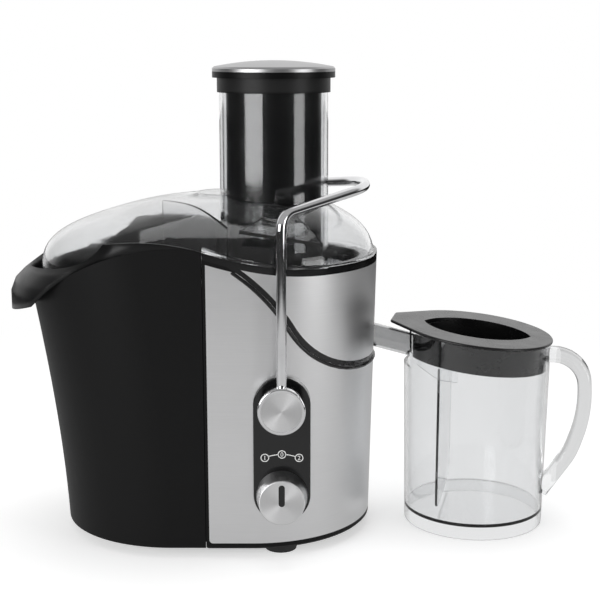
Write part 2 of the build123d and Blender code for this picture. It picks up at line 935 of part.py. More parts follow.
with BuildPart() as commutator:
    with BuildSketch(level(commutator_low)):
        Circle(commutator_radius)
        Circle(shaft_radius, mode=Mode.SUBTRACT)
    extrude(amount=commutator_height)
write(commutator, "commutator")

with BuildPart() as cooling_fan:
    with BuildSketch(level(fan_low)):
        Circle(fan_radius)
        Circle(shaft_radius, mode=Mode.SUBTRACT)
    extrude(amount=fan_web)
    with BuildSketch(level(fan_low)):
        Circle(2 * shaft_radius)
        Circle(shaft_radius, mode=Mode.SUBTRACT)
        with PolarLocations(blade_distance, fan_blades):
            Rectangle(blade_length, fan_web, rotation=blade_angle)
    extrude(amount=fan_height)
write(cooling_fan, "cooling_fan")

with BuildPart() as motor_stator:
    with BuildSketch(level(armature_low)):
        RectangleRounded(2 * stator_half, 2 * stator_half, stator_corner)
        Circle(armature_radius + air_gap, mode=Mode.SUBTRACT)
        with Locations((0, armature_radius + coil_width / 2), (0, -armature_radius - coil_width / 2)):
            Rectangle(2 * armature_radius, coil_width, mode=Mode.SUBTRACT)
        with mount_places:
            Circle(pillar_radius, mode=Mode.SUBTRACT)
    extrude(amount=armature_height)
write(motor_stator, "motor_stator")

with BuildPart() as field_coils:
    for side in (-1, 1):
        with BuildSketch(level(armature_low - coil_overhang)):
            with Locations((0, side * (armature_radius + air_gap + coil_width / 2))):
                coil_length = 2 * (armature_radius - coil_end_gap)
                RectangleRounded(coil_length, coil_width - 2 * air_gap, coil_width / 3)
        extrude(amount=armature_height + 2 * coil_overhang)
write(field_coils, "field_coils")


def bracket(height):
    """Motor bracket: a plate on the four pillars with a bearing seat in its middle."""
    with BuildPart() as plate:
        with BuildSketch(level(height)):
            RectangleRounded(2 * bracket_half, 2 * bracket_half, stator_corner)
            Circle(bearing_radius, mode=Mode.SUBTRACT)
            with mount_places:
                Circle(pillar_radius, mode=Mode.SUBTRACT)
            with PolarLocations(bracket_vent_distance, 4):
                SlotOverall(bracket_vent_length, bracket_vent_width, rotation=90, mode=Mode.SUBTRACT)
        extrude(amount=bracket_thickness)
    return plate


def bearing(height):
    """Plain bearing ring on the motor shaft."""
    with BuildPart() as ring:
        with BuildSketch(level(height)):
            Circle(bearing_radius)
            Circle(shaft_radius + bearing_gap, mode=Mode.SUBTRACT)
        extrude(amount=bracket_thickness)
    return ring


lower_bracket = bracket(lower_bracket_height)
write(lower_bracket, "lower_bracket")
upper_bracket = bracket(upper_bracket_height)
write(upper_bracket, "upper_bracket")
lower_bearing = bearing(lower_bracket_height)
write(lower_bearing, "lower_bearing")
upper_bearing = bearing(upper_bracket_height)
write(upper_bearing, "upper_bearing")

with BuildPart() as motor_pillars:
    with BuildSketch(level(plate_top + pillar_seat)):
        with mount_places:
            Circle(pillar_radius)
    extrude(amount=upper_bracket_top - plate_top - pillar_seat)
write(motor_pillars, "motor_pillars")

with BuildPart() as motor_mounts:
    with BuildSketch(level(plate_top)):
        with mount_places:
            Circle(mount_radius)
    extrude(amount=lower_bracket_height - plate_top)
    with BuildSketch(level(plate_top + pillar_seat)):
        with mount_places:
            Circle(pillar_radius)
    extrude(amount=lower_bracket_height, mode=Mode.SUBTRACT)
write(motor_mounts, "motor_mounts")

with BuildPart() as brush_holders:
    for side in (-1, 1):
        with BuildSketch(level(lower_bracket_top)):
            with Locations((side * (commutator_radius + air_gap + brush_length / 2), 0)):
                Rectangle(brush_length, brush_size)
        extrude(amount=commutator_low + commutator_height - lower_bracket_top - brush_top_gap)
write(brush_holders, "brush_holders")

# Switches and cable gland

switch_middle = knob_shaft_length - pad_plane + switch_depth / 2

with BuildPart() as rotary_switch:
    with BuildSketch(switch_plane):
        RectangleRounded(switch_size, switch_size, switch_corner)
    extrude(amount=-switch_depth)
    with BuildSketch(Plane((axis_x + control_x, switch_middle, plate_top))):
        Rectangle(switch_stand_width, switch_stand_depth)
    extrude(amount=knob_height - plate_top)
    with BuildSketch(switch_plane):
        Circle(knob_shaft_radius + bearing_gap)
    extrude(amount=-knob_shaft_grip, mode=Mode.SUBTRACT)
write(rotary_switch, "rotary_switch")

with BuildPart() as interlock_switch:
    with BuildSketch(Plane((axis_x + control_x, -interlock_distance, bay_ceiling))):
        RectangleRounded(interlock_length, interlock_width, switch_corner)
    extrude(amount=-interlock_height)
    with BuildSketch(Plane((axis_x + control_x, -interlock_distance, bay_ceiling - interlock_height))):
        with GridLocations(terminal_pitch, 0, 3, 1):
            Rectangle(terminal_thickness, interlock_width / 2)
    extrude(amount=-terminal_length)
write(interlock_switch, "interlock_switch")

with BuildPart() as cord_gland:
    with BuildSketch(gland_plane.offset(half_depth(gland_height) - shell_inset)):
        Circle(gland_radius + gland_flange)
    extrude(amount=shell_inset + gland_flange)
    add(body, mode=Mode.SUBTRACT)
    with BuildSketch(gland_plane.offset(half_depth(gland_height) - shell_inset - gland_flange)):
        Circle(gland_radius)
    extrude(amount=shell_inset + 2 * gland_flange)
    with BuildSketch(gland_plane):
        Circle(gland_hole)
    extrude(amount=far, mode=Mode.SUBTRACT)
write(cord_gland, "cord_gland")

# Lock arm with its pivots

rod_start = (axis_x + control_x, -arm_plane, pivot_height + ring_radius - rod_grip)
rod_front = [
    rod_start,
    (axis_x + control_x, -arm_plane, elbow_height),
    (axis_x + nose_reach, -nose_half, nose_height),
]
rod_rear = [(x, -y, z) for x, y, z in reversed(rod_front)]
rod_bends = [elbow_radius, nose_radius, nose_radius, elbow_radius]


def pivot_side(side, distance):
    """Plane square to the pivot axis, facing outwards, on the front (-1) or the rear (1)."""
    place = (axis_x + control_x, side * distance, pivot_height)
    return Plane(place, x_dir=(1, 0, 0), z_dir=(0, side, 0))


with BuildPart() as lock_arm:
    with BuildLine() as rod_path:
        FilletPolyline(rod_front + rod_rear, radius=rod_bends)
    with BuildSketch(Plane(rod_start)):
        Circle(rod_radius)
    sweep(path=rod_path.line)
write(lock_arm, "lock_arm")

with BuildPart() as pivot_rings:
    for side in (-1, 1):
        with BuildSketch(pivot_side(side, pad_plane + turning_gap)):
            Circle(ring_radius)
        extrude(amount=ring_length - turning_gap)
    end_faces = pivot_rings.faces().filter_by(Axis.Y).sort_by(Axis.Y)
    fillet(end_faces[0].edges() + end_faces[-1].edges(), ring_edge)
    for side in (-1, 1):
        with BuildSketch(pivot_side(side, pad_plane + ring_length)):
            Circle(ring_recess_radius)
        extrude(amount=-ring_recess, mode=Mode.SUBTRACT)
    add(lock_arm.part, mode=Mode.SUBTRACT)
write(pivot_rings, "pivot_rings")

with BuildPart() as pivot_caps:
    for side in (-1, 1):
        with BuildSketch(pivot_side(side, pad_plane + ring_length - ring_recess)):
            Circle(ring_recess_radius)
        extrude(amount=cap_thickness)
write(pivot_caps, "pivot_caps")

with BuildPart() as pivot_pins:
    for side in (-1, 1):
        with BuildSketch(pivot_side(side, pad_plane + turning_gap)):
            Circle(pin_radius)
        extrude(amount=-pin_length)
write(pivot_pins, "pivot_pins")

# Speed knob

knob_back = knob_plane.offset(pad_plane + turning_gap)
knob_face = knob_back.offset(knob_length)
knob_taper = degrees(atan((knob_base_radius - knob_face_radius) / knob_length))

with BuildPart() as knob:
    with BuildSketch(knob_back):
        Circle(knob_base_radius)
    extrude(amount=knob_length, taper=knob_taper)
    fillet(knob.faces().sort_by(Axis.Y)[0].edges(), knob_fillet)
    with BuildSketch(knob_face):
        with Locations((0, pointer_rise)):
            SlotOverall(pointer_length, pointer_width, rotation=90)
    extrude(amount=-pointer_depth, mode=Mode.SUBTRACT)
    with BuildSketch(knob_back):
        Circle(knob_shaft_radius)
    extrude(amount=knob_shaft_grip, mode=Mode.SUBTRACT)
write(knob, "knob")

with BuildPart() as knob_pointer:
    with BuildSketch(knob_face.offset(-pointer_depth)):
        with Locations((0, pointer_rise)):
            SlotOverall(pointer_length, pointer_width, rotation=90)
    extrude(amount=pointer_depth)
write(knob_pointer, "knob_pointer")

with BuildPart() as knob_shaft:
    with BuildSketch(knob_back.offset(knob_shaft_grip)):
        Circle(knob_shaft_radius)
    extrude(amount=-2 * knob_shaft_grip - knob_shaft_length + turning_gap)
write(knob_shaft, "knob_shaft")

# Pulp bin and its collar

bin_right = seam_reach + bin_clearance
bin_low = foot_height + bin_lift
bin_floor_low = plate_top + bin_floor_gap
bin_floor_top = bin_floor_low + bin_floor
bin_top = crest_height + bin_lift
collar_centre = bin_reach(rim_height) - half_depth(rim_height)
collar_half = half_depth(crest_height)
lip_brow = lip_drop + lip_edge
collar_outlines = [
    (lip_drop, lip_reach),
    (lip_brow, lip_reach),
    (lip_brow + lip_shoulder_rise, lip_shoulder_reach),
    (lip_brow + lip_rim_rise, lip_rim_reach),
    (crest_height, lip_top_reach),
]
bin_levels = [bin_low, bin_top / 3, bin_top * 2 / 3, bin_top]
hollow_levels = [bin_floor_top, bin_top / 3, bin_top * 2 / 3, bin_top + bin_lift]
under_collar = below_collar()
bin_back = disc(level(0), back_radius + bin_clearance, far)
bin_back_wall = disc(level(0), back_radius + bin_clearance + bin_wall, far)
pulp_mouth = disc(level(bin_inner_height), bowl_outer + bowl_edge_overhang + 2 * bin_clearance, far)

with BuildPart() as lid_room:
    with BuildSketch(level(bin_inner_height)):
        with Locations(((lid_right - lid_left) / 2, 0)):
            SlotCenterToCenter(lid_right + lid_left - 2 * lid_half_width, 2 * (lid_half_width + lid_gap))
    extrude(amount=far)

with BuildPart() as bin_hollow:
    loft([bin_section(height, bin_wall, bin_right + bin_wall) for height in hollow_levels])
    add(bin_back_wall, mode=Mode.SUBTRACT)

with BuildPart() as pulp_bin:
    loft([bin_section(height, 0, bin_right) for height in bin_levels])
    add(bin_hollow.part, mode=Mode.SUBTRACT)
    add(bin_back, mode=Mode.SUBTRACT)
    add(pulp_mouth, mode=Mode.SUBTRACT)
    add(lid_room.part, mode=Mode.SUBTRACT)
    add(under_rim, mode=Mode.INTERSECT)
    add(under_collar, mode=Mode.INTERSECT)
    extrude(bin_section(bin_low, bin_wall, 0), amount=bin_floor_low - bin_low, mode=Mode.SUBTRACT)
write(pulp_bin, "pulp_bin")

with BuildPart() as bin_collar:
    for height, reach in collar_outlines:
        with BuildSketch(level(height)):
            with Locations((-collar_centre, 0)):
                Ellipse(reach - collar_centre, collar_half)
            with Locations((-(collar_centre + bin_right) / 2, 0)):
                Rectangle(collar_centre - bin_right, 2 * collar_half)
    loft(ruled=True)
    split(bisect_by=Plane((axis_x - bin_right, 0, 0), z_dir=(1, 0, 0)), keep=Keep.BOTTOM)
    add(under_rim, mode=Mode.INTERSECT)
    add(under_collar, mode=Mode.SUBTRACT)
    add(bin_hollow.part, mode=Mode.SUBTRACT)
    add(pulp_mouth, mode=Mode.SUBTRACT)
    add(lid_room.part, mode=Mode.SUBTRACT)
write(bin_collar, "bin_collar")

# Juice jug, its lid and the foam separator

jug_draft = (jug_rim_radius - jug_foot_radius) / jug_lid_height
jug_top = jug_lid_height + jug_wall * 4
jug_floor_top = jug_floor_height + jug_floor
lid_normal = jug_ahead * sin(radians(jug_lid_slope)) + Vector(0, 0, cos(radians(jug_lid_slope)))
jug_lid_plane = Plane((jug_x, 0, jug_lid_height), z_dir=lid_normal)
jug_rim_plane = jug_lid_plane.offset(-jug_flange)
jug_skirt_plane = jug_lid_plane.offset(-jug_skirt_depth)
jug_skirt_low = jug_lid_height - jug_skirt_depth - jug_lid_radius * tan(radians(jug_lid_slope))


def jug_radius(height):
    """Outer radius of the jug, which widens upwards."""
    return jug_foot_radius + jug_draft * height


with BuildPart() as jug_hollow:
    with BuildSketch(jug_front):
        with BuildLine():
            Polyline(
                (0, jug_floor_top),
                (jug_radius(jug_floor_top) - jug_wall, jug_floor_top),
                (jug_radius(jug_top) - jug_wall, jug_top),
                (0, jug_top),
                close=True,
            )
        make_face()
    revolve(axis=jug_axis)

with BuildPart() as jug_notch:
    with BuildSketch(jug_level(jug_notch_low)):
        with Locations((-jug_foot_radius, 0)):
            Rectangle(jug_foot_radius, jug_notch_width)
    extrude(amount=far)

with BuildPart() as jug:
    with BuildSketch(jug_front):
        with BuildLine():
            Polyline(
                (jug_radius(0) - jug_wall, 0),
                (jug_radius(0), 0),
                (jug_radius(jug_top), jug_top),
                (0, jug_top),
                (0, jug_floor_height),
                (jug_radius(0) - jug_wall, jug_floor_height),
                close=True,
            )
        make_face()
    revolve(axis=jug_axis)
    lean = atan(handle_lean / handle_bend_drop)
    waist = atan(handle_waist / (handle_high - handle_bend_drop - handle_low - handle_waist_rise))
    bend_length = handle_back_radius * tan((lean + waist) / 2)
    corner_cut = bend_length * sin(lean) - handle_back_radius * (1 - cos(lean))
    handle_line = handle_reach - handle_thickness / 2 + corner_cut
    handle_root = jug_foot_radius - jug_wall / 2
    with BuildLine(jug_front) as handle_path:
        FilletPolyline(
            (handle_root, handle_high),
            (handle_line - handle_lean, handle_high),
            (handle_line, handle_high - handle_bend_drop),
            (handle_line - handle_waist, handle_low + handle_waist_rise),
            (handle_root, handle_low),
            radius=[handle_top_radius, handle_back_radius, handle_low_radius],
        )
    handle_start = Vector(jug_x, 0, handle_high) + jug_ahead * handle_root
    with BuildSketch(Plane(handle_start, x_dir=jug_aside, z_dir=jug_ahead)):
        RectangleRounded(handle_width, handle_thickness, handle_round)
    sweep(path=handle_path.line)
    add(jug_hollow.part, mode=Mode.SUBTRACT)
    split(bisect_by=jug_rim_plane, keep=Keep.BOTTOM)
    add(jug_notch.part, mode=Mode.SUBTRACT)
write(jug, "jug")

plug_radius = jug_radius(jug_skirt_low) - jug_wall - jug_skirt_gap
dish_circle = (dish_length**2 + dish_width**2) / (4 * dish_width)

with BuildPart() as dish:
    with BuildSketch(jug_level(dish_floor_height)):
        with Locations((0, dish_circle - dish_width / 2)):
            Circle(dish_circle)
        with Locations((0, dish_width / 2 - dish_circle)):
            Circle(dish_circle, mode=Mode.INTERSECT)
    extrude(amount=far)

with BuildPart() as dish_shell:
    with BuildSketch(jug_level(dish_floor_height - dish_wall)):
        with Locations((0, dish_circle - dish_width / 2)):
            Circle(dish_circle + dish_wall)
        with Locations((0, dish_width / 2 - dish_circle)):
            Circle(dish_circle + dish_wall, mode=Mode.INTERSECT)
    extrude(amount=far)

with BuildPart() as lid_hollow:
    with BuildSketch(jug_level(jug_skirt_low)):
        Circle(plug_radius - jug_skirt_wall)
        with Locations((-jug_beak_reach / 2, 0)):
            Rectangle(jug_beak_reach, jug_notch_width)
    extrude(amount=far)
    split(bisect_by=jug_rim_plane, keep=Keep.BOTTOM)
    add(dish_shell.part, mode=Mode.SUBTRACT)

with BuildPart() as jug_lid:
    with BuildSketch(jug_level(jug_skirt_low)):
        Circle(jug_lid_radius)
        beak_corner = jug_beak_half - jug_beak_corner
        with Locations(*[(jug_beak_corner - jug_beak_reach, side * beak_corner) for side in (-1, 1)]):
            Circle(jug_beak_corner)
        make_hull()
    extrude(amount=far)
    split(bisect_by=jug_rim_plane, keep=Keep.TOP)
    with BuildSketch(jug_level(jug_skirt_low)):
        Circle(plug_radius)
    extrude(amount=jug_lid_height - jug_skirt_low)
    split(bisect_by=jug_skirt_plane, keep=Keep.TOP)
    split(bisect_by=jug_lid_plane, keep=Keep.BOTTOM)
    fillet(jug_lid.faces().sort_by(Axis((jug_x, 0, 0), lid_normal))[-1].edges(), jug_lid_edge)
    add(lid_hollow.part, mode=Mode.SUBTRACT)
    add(dish.part, mode=Mode.SUBTRACT)
write(jug_lid, "jug_lid")

wing_radius = plug_radius - jug_skirt_wall - wing_gap
separator_half = sqrt((wing_radius - wing_wall / 2) ** 2 - separator_offset**2)

with BuildPart() as separator_wings:
    with BuildSketch(jug_front):
        with BuildLine():
            Polyline(
                (-wing_end, wing_low),
                (-separator_offset, wing_low),
                (-wing_reach, wing_high),
                (-wing_radius, wing_high),
                (-wing_radius, wing_top),
                (-wing_end, wing_top),
                close=True,
            )
        make_face()
    extrude(amount=wing_radius, both=True)
    add(disc(jug_level(0), wing_radius, far), mode=Mode.INTERSECT)
    add(disc(jug_level(0), wing_radius - wing_wall, far), mode=Mode.SUBTRACT)
    add(jug_notch.part, mode=Mode.SUBTRACT)

with BuildPart() as foam_separator:
    with BuildSketch(jug_level(separator_low)):
        with Locations((-separator_offset, 0)):
            Rectangle(separator_thickness, 2 * separator_half)
    extrude(amount=dish_floor_height - dish_wall - separator_low)
    across = Axis((0, 0, 0), jug_ahead)
    fillet(foam_separator.edges().filter_by(across).group_by(Axis.Z)[0], separator_corner)
    add(separator_wings.part)
write(foam_separator, "foam_separator")
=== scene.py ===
import math

import bmesh
import bpy
from bpy.props import FloatProperty, FloatVectorProperty, IntProperty, PointerProperty
from mathutils import Matrix, Vector
from mathutils.bvhtree import BVHTree


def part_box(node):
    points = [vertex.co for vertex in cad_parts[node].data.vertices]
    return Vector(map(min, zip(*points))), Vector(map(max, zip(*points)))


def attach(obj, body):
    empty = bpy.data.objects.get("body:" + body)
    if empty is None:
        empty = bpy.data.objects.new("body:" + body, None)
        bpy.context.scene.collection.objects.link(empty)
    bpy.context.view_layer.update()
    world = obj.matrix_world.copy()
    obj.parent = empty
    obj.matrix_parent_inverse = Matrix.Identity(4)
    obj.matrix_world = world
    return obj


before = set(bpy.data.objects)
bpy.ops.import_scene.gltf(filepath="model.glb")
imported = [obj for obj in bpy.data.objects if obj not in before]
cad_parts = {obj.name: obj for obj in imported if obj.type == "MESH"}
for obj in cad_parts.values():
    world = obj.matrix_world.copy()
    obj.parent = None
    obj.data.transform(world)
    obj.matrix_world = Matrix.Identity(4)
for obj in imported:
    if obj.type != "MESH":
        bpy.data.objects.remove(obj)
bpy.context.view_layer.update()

bl_info = {
    "name": "Centrifugal Juicer",
    "version": (1, 0, 0),
    "blender": (4, 5, 0),
    "location": "View3D > Sidebar > Juicer",
    "description": "Dresses the packed juicer with finishes, small parts and a white studio",
    "category": "Object",
}


def middle(node):
    """Centre of a CAD node's box."""
    low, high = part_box(node)
    return [(start + stop) / 2 for start, stop in zip(low, high)]


# Places in the frame, in metres
KNOB_X, _, KNOB_Z = middle("knob")
RING_Z = middle("pivot_rings")[2]
AXIS_X = middle("motor_shaft")[0]
PAD_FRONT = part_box("control_pad")[0].y
PLATE_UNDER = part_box("base_plate")[0].z
GASKET_LOW, GASKET_HIGH = (corner.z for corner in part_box("seam_gasket"))
GRATER_PLATE = 0.0015
GRATER_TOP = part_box("grater_disc")[0].z + GRATER_PLATE

# The plunger's skirt hangs over the top of the chute
CHUTE_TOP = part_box("lid")[1].z
SKIRT_DROP = 0.012
SKIRT_FADE = 0.002
SKIRT_GAP = 0.0002

# The jug's handle starts outside its lid, and the foam separator's stem is hidden in the lid
HANDLE_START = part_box("jug_lid")[1].x
HANDLE_FADE = 0.004
SEPARATOR_STEM = 0.125

# Search for the gasket's lower edge, in degrees round the axis and in metres
SEAM_TURN = 98
SEAM_STEP = 2
SEARCH_RISE = 0.00025
SEARCH_START = 0.13
SEARCH_DEPTH = 0.04

# Steps and sides of the meshes made here
BEAD_STEPS = 160
BEAD_SIDES = 12
SCREW_SIDES = 24
TOOTH_SIDES = 6
ROW_STEPS = 48
ARC_STEPS = 24
DIGIT_STEPS = 4

# Repeats per metre of the patterns, and the length after which a wave of scale 1 repeats
SMUDGES = 60.0
RIPPLES = 900.0
SATIN_GRAINS = 1250.0
HAZE = 35.0
FLOOR_CLOUDS = 3.0
WAVE_LENGTH = 0.314

# Floor: half size in metres, light added for the camera, and the distances where it turns into the backdrop
FLOOR_HALF = 6.0
FLOOR_LIFT = 0.5
BACKDROP_SPAN = (0.45, 0.85)

# Pale oval table that polished parts mirror: half axes in metres, fading edge in shares of them, fading back
TABLE_HALF = (0.86, 1.15)
TABLE_EDGE = (0.95, 1.25)
TABLE_LEVEL = 0.64
TABLE_OUTSIDE = 0.03
TABLE_BACK = (0.55, 0.95)
TABLE_BACK_LEVEL = 0.25
TABLE_SHARE = 0.65

# White wedge on the floor that clear parts show: its tip's place, its sides' slope and their fading edge
WEDGE_X = 0.15
WEDGE_SLOPE = 1.5
WEDGE_EDGE = (-0.5, -0.2)
WEDGE_OUTSIDE = 0.03

# Room: the parts of a direction between which its light fades, and the levels it fades from or to
BACK_SPAN = (0.25, 0.60)
BACK_OUTSIDE = 0.05
ABOVE_SPAN = (0.15, 0.45)
ABOVE_LEVEL = 0.45
THROUGH_SPAN = (0.60, 0.93)
THROUGH_OUTSIDE = 0.06
FRONT_LEVEL = 0.3

SENSOR_WIDTH = 36.0


def colour_prop(name, description, default):
    """Colour that a user may change."""
    return FloatVectorProperty(
        name=name, description=description, subtype="COLOR", size=3, min=0, max=1, default=default
    )


def length_prop(name, description, default):
    """Length in metres that a user may change."""
    return FloatProperty(
        name=name, description=description, subtype="DISTANCE", unit="LENGTH", default=default
    )


def angle_prop(name, description, degrees):
    """Angle that a user may change."""
    return FloatProperty(
        name=name, description=description, subtype="ANGLE", default=math.radians(degrees)
    )


class JuicerFinishes(bpy.types.PropertyGroup):
    """Colours and surface qualities of the juicer's materials."""

    steel: colour_prop("Brushed steel", "Colour of the brushed panels", (0.74, 0.74, 0.745))
    chrome: colour_prop("Chrome", "Colour of the polished lock arm", (0.74, 0.74, 0.75))
    plain_steel: colour_prop("Plain steel", "Colour of shafts, sieve and grater", (0.50, 0.50, 0.51))
    screw_steel: colour_prop("Screw steel", "Colour of the screws underneath", (0.45, 0.45, 0.46))
    silver_cap: colour_prop("Silver cap", "Colour of the plunger's cap", (0.48, 0.48, 0.485))
    matte_black: colour_prop("Matte black", "Colour of the grained black plastic", (0.0045, 0.0045, 0.0047))
    gloss_black: colour_prop("Gloss black", "Colour of the polished black plastic", (0.004, 0.004, 0.0043))
    plunger_black: colour_prop("Plunger black", "Colour of the plunger", (0.0025, 0.0025, 0.0027))
    # Lighter colour painted on the plunger's skirt, a painted sheen in place of its soft highlights
    skirt_sheen_black: colour_prop("Skirt sheen black", "Colour of the plunger's skirt", (0.017, 0.017, 0.0173))
    jug_lid_black: colour_prop("Jug lid black", "Colour of the jug's lid", (0.0055, 0.0055, 0.0057))
    switch_black: colour_prop("Switch black", "Colour of the switches inside", (0.018, 0.018, 0.019))
    rubber: colour_prop("Rubber", "Colour of the feet, mounts and gland", (0.012, 0.012, 0.0125))
    clear: colour_prop("Clear plastic", "Tint of the lid and the jug", (0.905, 0.91, 0.915))
    ink: colour_prop("Dial ink", "Colour of the printed dial", (0.80, 0.80, 0.79))
    laminated: colour_prop("Laminated steel", "Colour of the motor's iron", (0.34, 0.34, 0.35))
    copper: colour_prop("Copper", "Colour of the motor's windings", (0.60, 0.23, 0.10))
    bronze: colour_prop("Bronze", "Colour of the bearings and brush holders", (0.42, 0.26, 0.11))
    nylon: colour_prop("White nylon", "Colour of the fan and the coupling", (0.74, 0.73, 0.70))
    aluminium: colour_prop("Cast aluminium", "Colour of the motor's brackets", (0.50, 0.50, 0.51))
    grain: length_prop("Grain size", "Size of the texture moulded into matte plastic", 0.0006)
    brush_line: length_prop("Brush line", "Width of one line of the brushed steel", 0.0005)


class JuicerDial(bpy.types.PropertyGroup):
    """Sizes of the marks printed above the speed knob."""

    reach: length_prop("Reach", "Distance of the marks from the knob's middle", 0.0345)
    mark_radius: length_prop("Circle radius", "Radius of the circle round each number", 0.0031)
    line_width: length_prop("Line width", "Width of the printed lines", 0.0007)
    digit_height: length_prop("Digit height", "Height of the printed numbers", 0.0037)
    ink: length_prop("Ink", "Thickness of the print", 0.0001)
    spread: angle_prop("Spread", "Angle between two positions", 23.5)


class JuicerDetails(bpy.types.PropertyGroup):
    """Sizes of the small parts that repeat or follow a path."""

    bead_radius: length_prop("Bead radius", "Radius of the bead beside the gasket", 0.0016)
    bead_gap: length_prop("Bead gap", "Groove between the gasket and its bead", 0.00015)
    screw_count: IntProperty(name="Screws", description="Screws in the base plate", min=3, default=6)
    screw_ring: length_prop("Screw circle", "Radius of the circle of screws", 0.062)
    screw_radius: length_prop("Screw head", "Radius of a screw's head", 0.0036)
    screw_height: length_prop("Head height", "Height of a screw's head", 0.0012)
    row_count: IntProperty(name="Tooth rows", description="Rows of teeth on the grater", min=3, default=12)
    row_teeth: IntProperty(name="Teeth in a row", description="Teeth in one row", min=3, default=11)
    row_start: length_prop("Row start", "Radius where a row of teeth starts", 0.024)
    row_end: length_prop("Row end", "Radius where a row of teeth ends", 0.062)
    row_sweep: FloatProperty(name="Row sweep", description="Share of a turn that a row covers", default=0.12)
    tooth_radius: length_prop("Tooth radius", "Radius of a tooth's foot", 0.0011)
    tooth_height: length_prop("Tooth height", "Height of a tooth", 0.0014)


class JuicerStudio(bpy.types.PropertyGroup):
    """Camera and light of the studio."""

    lens: FloatProperty(name="Lens", description="Focal length", unit="CAMERA", default=76.6)
    camera_x: length_prop("Camera x", "Camera's place to the side", -0.00278)
    camera_y: length_prop("Camera y", "Camera's distance in front", -1.083)
    camera_z: length_prop("Camera z", "Camera's height", 0.414)
    tilt: angle_prop("Tilt", "Camera's downward angle", 11.37)
    fill: FloatProperty(name="Fill", description="Brightness of the room", min=0, default=0.35)


class Tree:
    """Node tree with short words for adding and joining nodes."""

    def __init__(self, tree):
        self.tree = tree

    def node(self, kind, **values):
        made = self.tree.nodes.new(kind)
        for key, value in values.items():
            setattr(made, key, value)
        return made

    def link(self, start, end):
        self.tree.links.new(start, end)

    def step(self, kind, inputs, **values):
        """One node with its inputs, by name or number, joined to a socket or set to a value."""
        made = self.node(kind, **values)
        for key, value in inputs.items():
            if isinstance(value, bpy.types.NodeSocket):
                self.link(value, made.inputs[key])
            else:
                made.inputs[key].default_value = value
        return made

    def math(self, operation, first, second=0.0):
        """One sum of two values, each a socket or a number."""
        return self.step("ShaderNodeMath", {0: first, 1: second}, operation=operation).outputs["Value"]

    def mixed(self, factor, first, second):
        """A value that goes from one to another by a factor."""
        return self.step("ShaderNodeMix", {0: factor, 2: first, 3: second}, data_type="FLOAT").outputs[0]

    def spread(self, value, low, high, start=0.3, stop=0.7, kind="LINEAR"):
        """A value between start and stop, the middle of a pattern, stretched to run from low to high."""
        return self.step("ShaderNodeMapRange", {
            "Value": value, "From Min": start, "From Max": stop, "To Min": low, "To Max": high
        }, interpolation_type=kind).outputs["Result"]

    def fade(self, value, span, low, high):
        """Light that goes softly from low to high while a value crosses a span."""
        return self.spread(value, low, high, *span, "SMOOTHSTEP")

    def split(self, vector):
        """The three parts of a vector."""
        return self.step("ShaderNodeSeparateXYZ", {"Vector": vector}).outputs

    def length(self, vector):
        return self.step("ShaderNodeVectorMath", {0: vector}, operation="LENGTH").outputs["Value"]

    def seen_through(self, path, behind, facing, span, dim):
        """Light in clear plastic: from behind it, and from the front too for a ray that met no mirror."""
        unmirrored = self.math("LESS_THAN", path["Glossy Depth"], 0.5)
        direct = self.math("MULTIPLY", unmirrored, self.fade(facing, span, FRONT_LEVEL, 1.0))
        return self.math("MAXIMUM", self.fade(behind, span, dim, 1.0), direct)


class Shader(Tree):
    """Node tree of one material, with a few words for the nodes that finishes use."""

    def __init__(self, name):
        self.material = bpy.data.materials.new(name)
        self.material.use_nodes = True
        super().__init__(self.material.node_tree)
        self.base = self.tree.nodes["Principled BSDF"]
        self.output = self.tree.nodes["Material Output"]

    def place(self, size=(1, 1, 1), centre=(0, 0, 0)):
        """Object coordinates, counted from a centre in steps of a size."""
        here = self.node("ShaderNodeTexCoord").outputs["Object"]
        return self.step(
            "ShaderNodeMapping", {"Vector": here, "Location": centre, "Scale": size}, vector_type="TEXTURE"
        ).outputs["Vector"]

    def noise(self, vector, scale, detail=3.0, roughness=0.6):
        return self.step("ShaderNodeTexNoise", {
            "Vector": vector, "Scale": scale, "Detail": detail, "Roughness": roughness
        }).outputs["Fac"]

    def tint(self, value, dark, light, start=0.3, stop=0.7):
        """Two colours run into each other by a pattern."""
        ramp = self.step("ShaderNodeValToRGB", {"Fac": value})
        for element, position, colour in zip(ramp.color_ramp.elements, (start, stop), (dark, light)):
            element.position = position
            element.color = (*colour, 1)
        self.link(ramp.outputs["Color"], self.base.inputs["Base Color"])

    def rough(self, value, limits):
        """Roughness that follows a pattern between two limits."""
        self.link(self.spread(value, *limits), self.base.inputs["Roughness"])

    def bump(self, value, depth, strength):
        made = self.step("ShaderNodeBump", {"Height": value, "Distance": depth, "Strength": strength})
        self.link(made.outputs["Normal"], self.base.inputs["Normal"])
        return made

    def set(self, **values):
        """Plain values of the finish, with underscores for the blanks in their names."""
        for name, value in values.items():
            self.base.inputs[name.replace("_", " ")].default_value = value

    def blend(self, factor, first, second):
        """Surface that goes from one shader to another by a factor."""
        mix = self.step("ShaderNodeMixShader", {0: factor, 1: first, 2: second})
        self.link(mix.outputs["Shader"], self.output.inputs["Surface"])


def toned(colour, factor):
    """A colour made lighter or darker."""
    return tuple(min(1.0, part * factor) for part in colour)


def brushed_steel(name, colour, line, streak=0.03):
    """Steel with level brush lines that run round the panel."""
    s = Shader(name)
    s.set(Metallic=1.0, Anisotropic=0.3)
    lines = s.noise(s.place(size=(streak, streak, line)), 1.0, 4.0, 0.65)
    s.tint(lines, toned(colour, 0.975), toned(colour, 1.02))
    s.rough(lines, (0.33, 0.41))
    s.bump(lines, line * 0.04, 0.2)
    return s.material


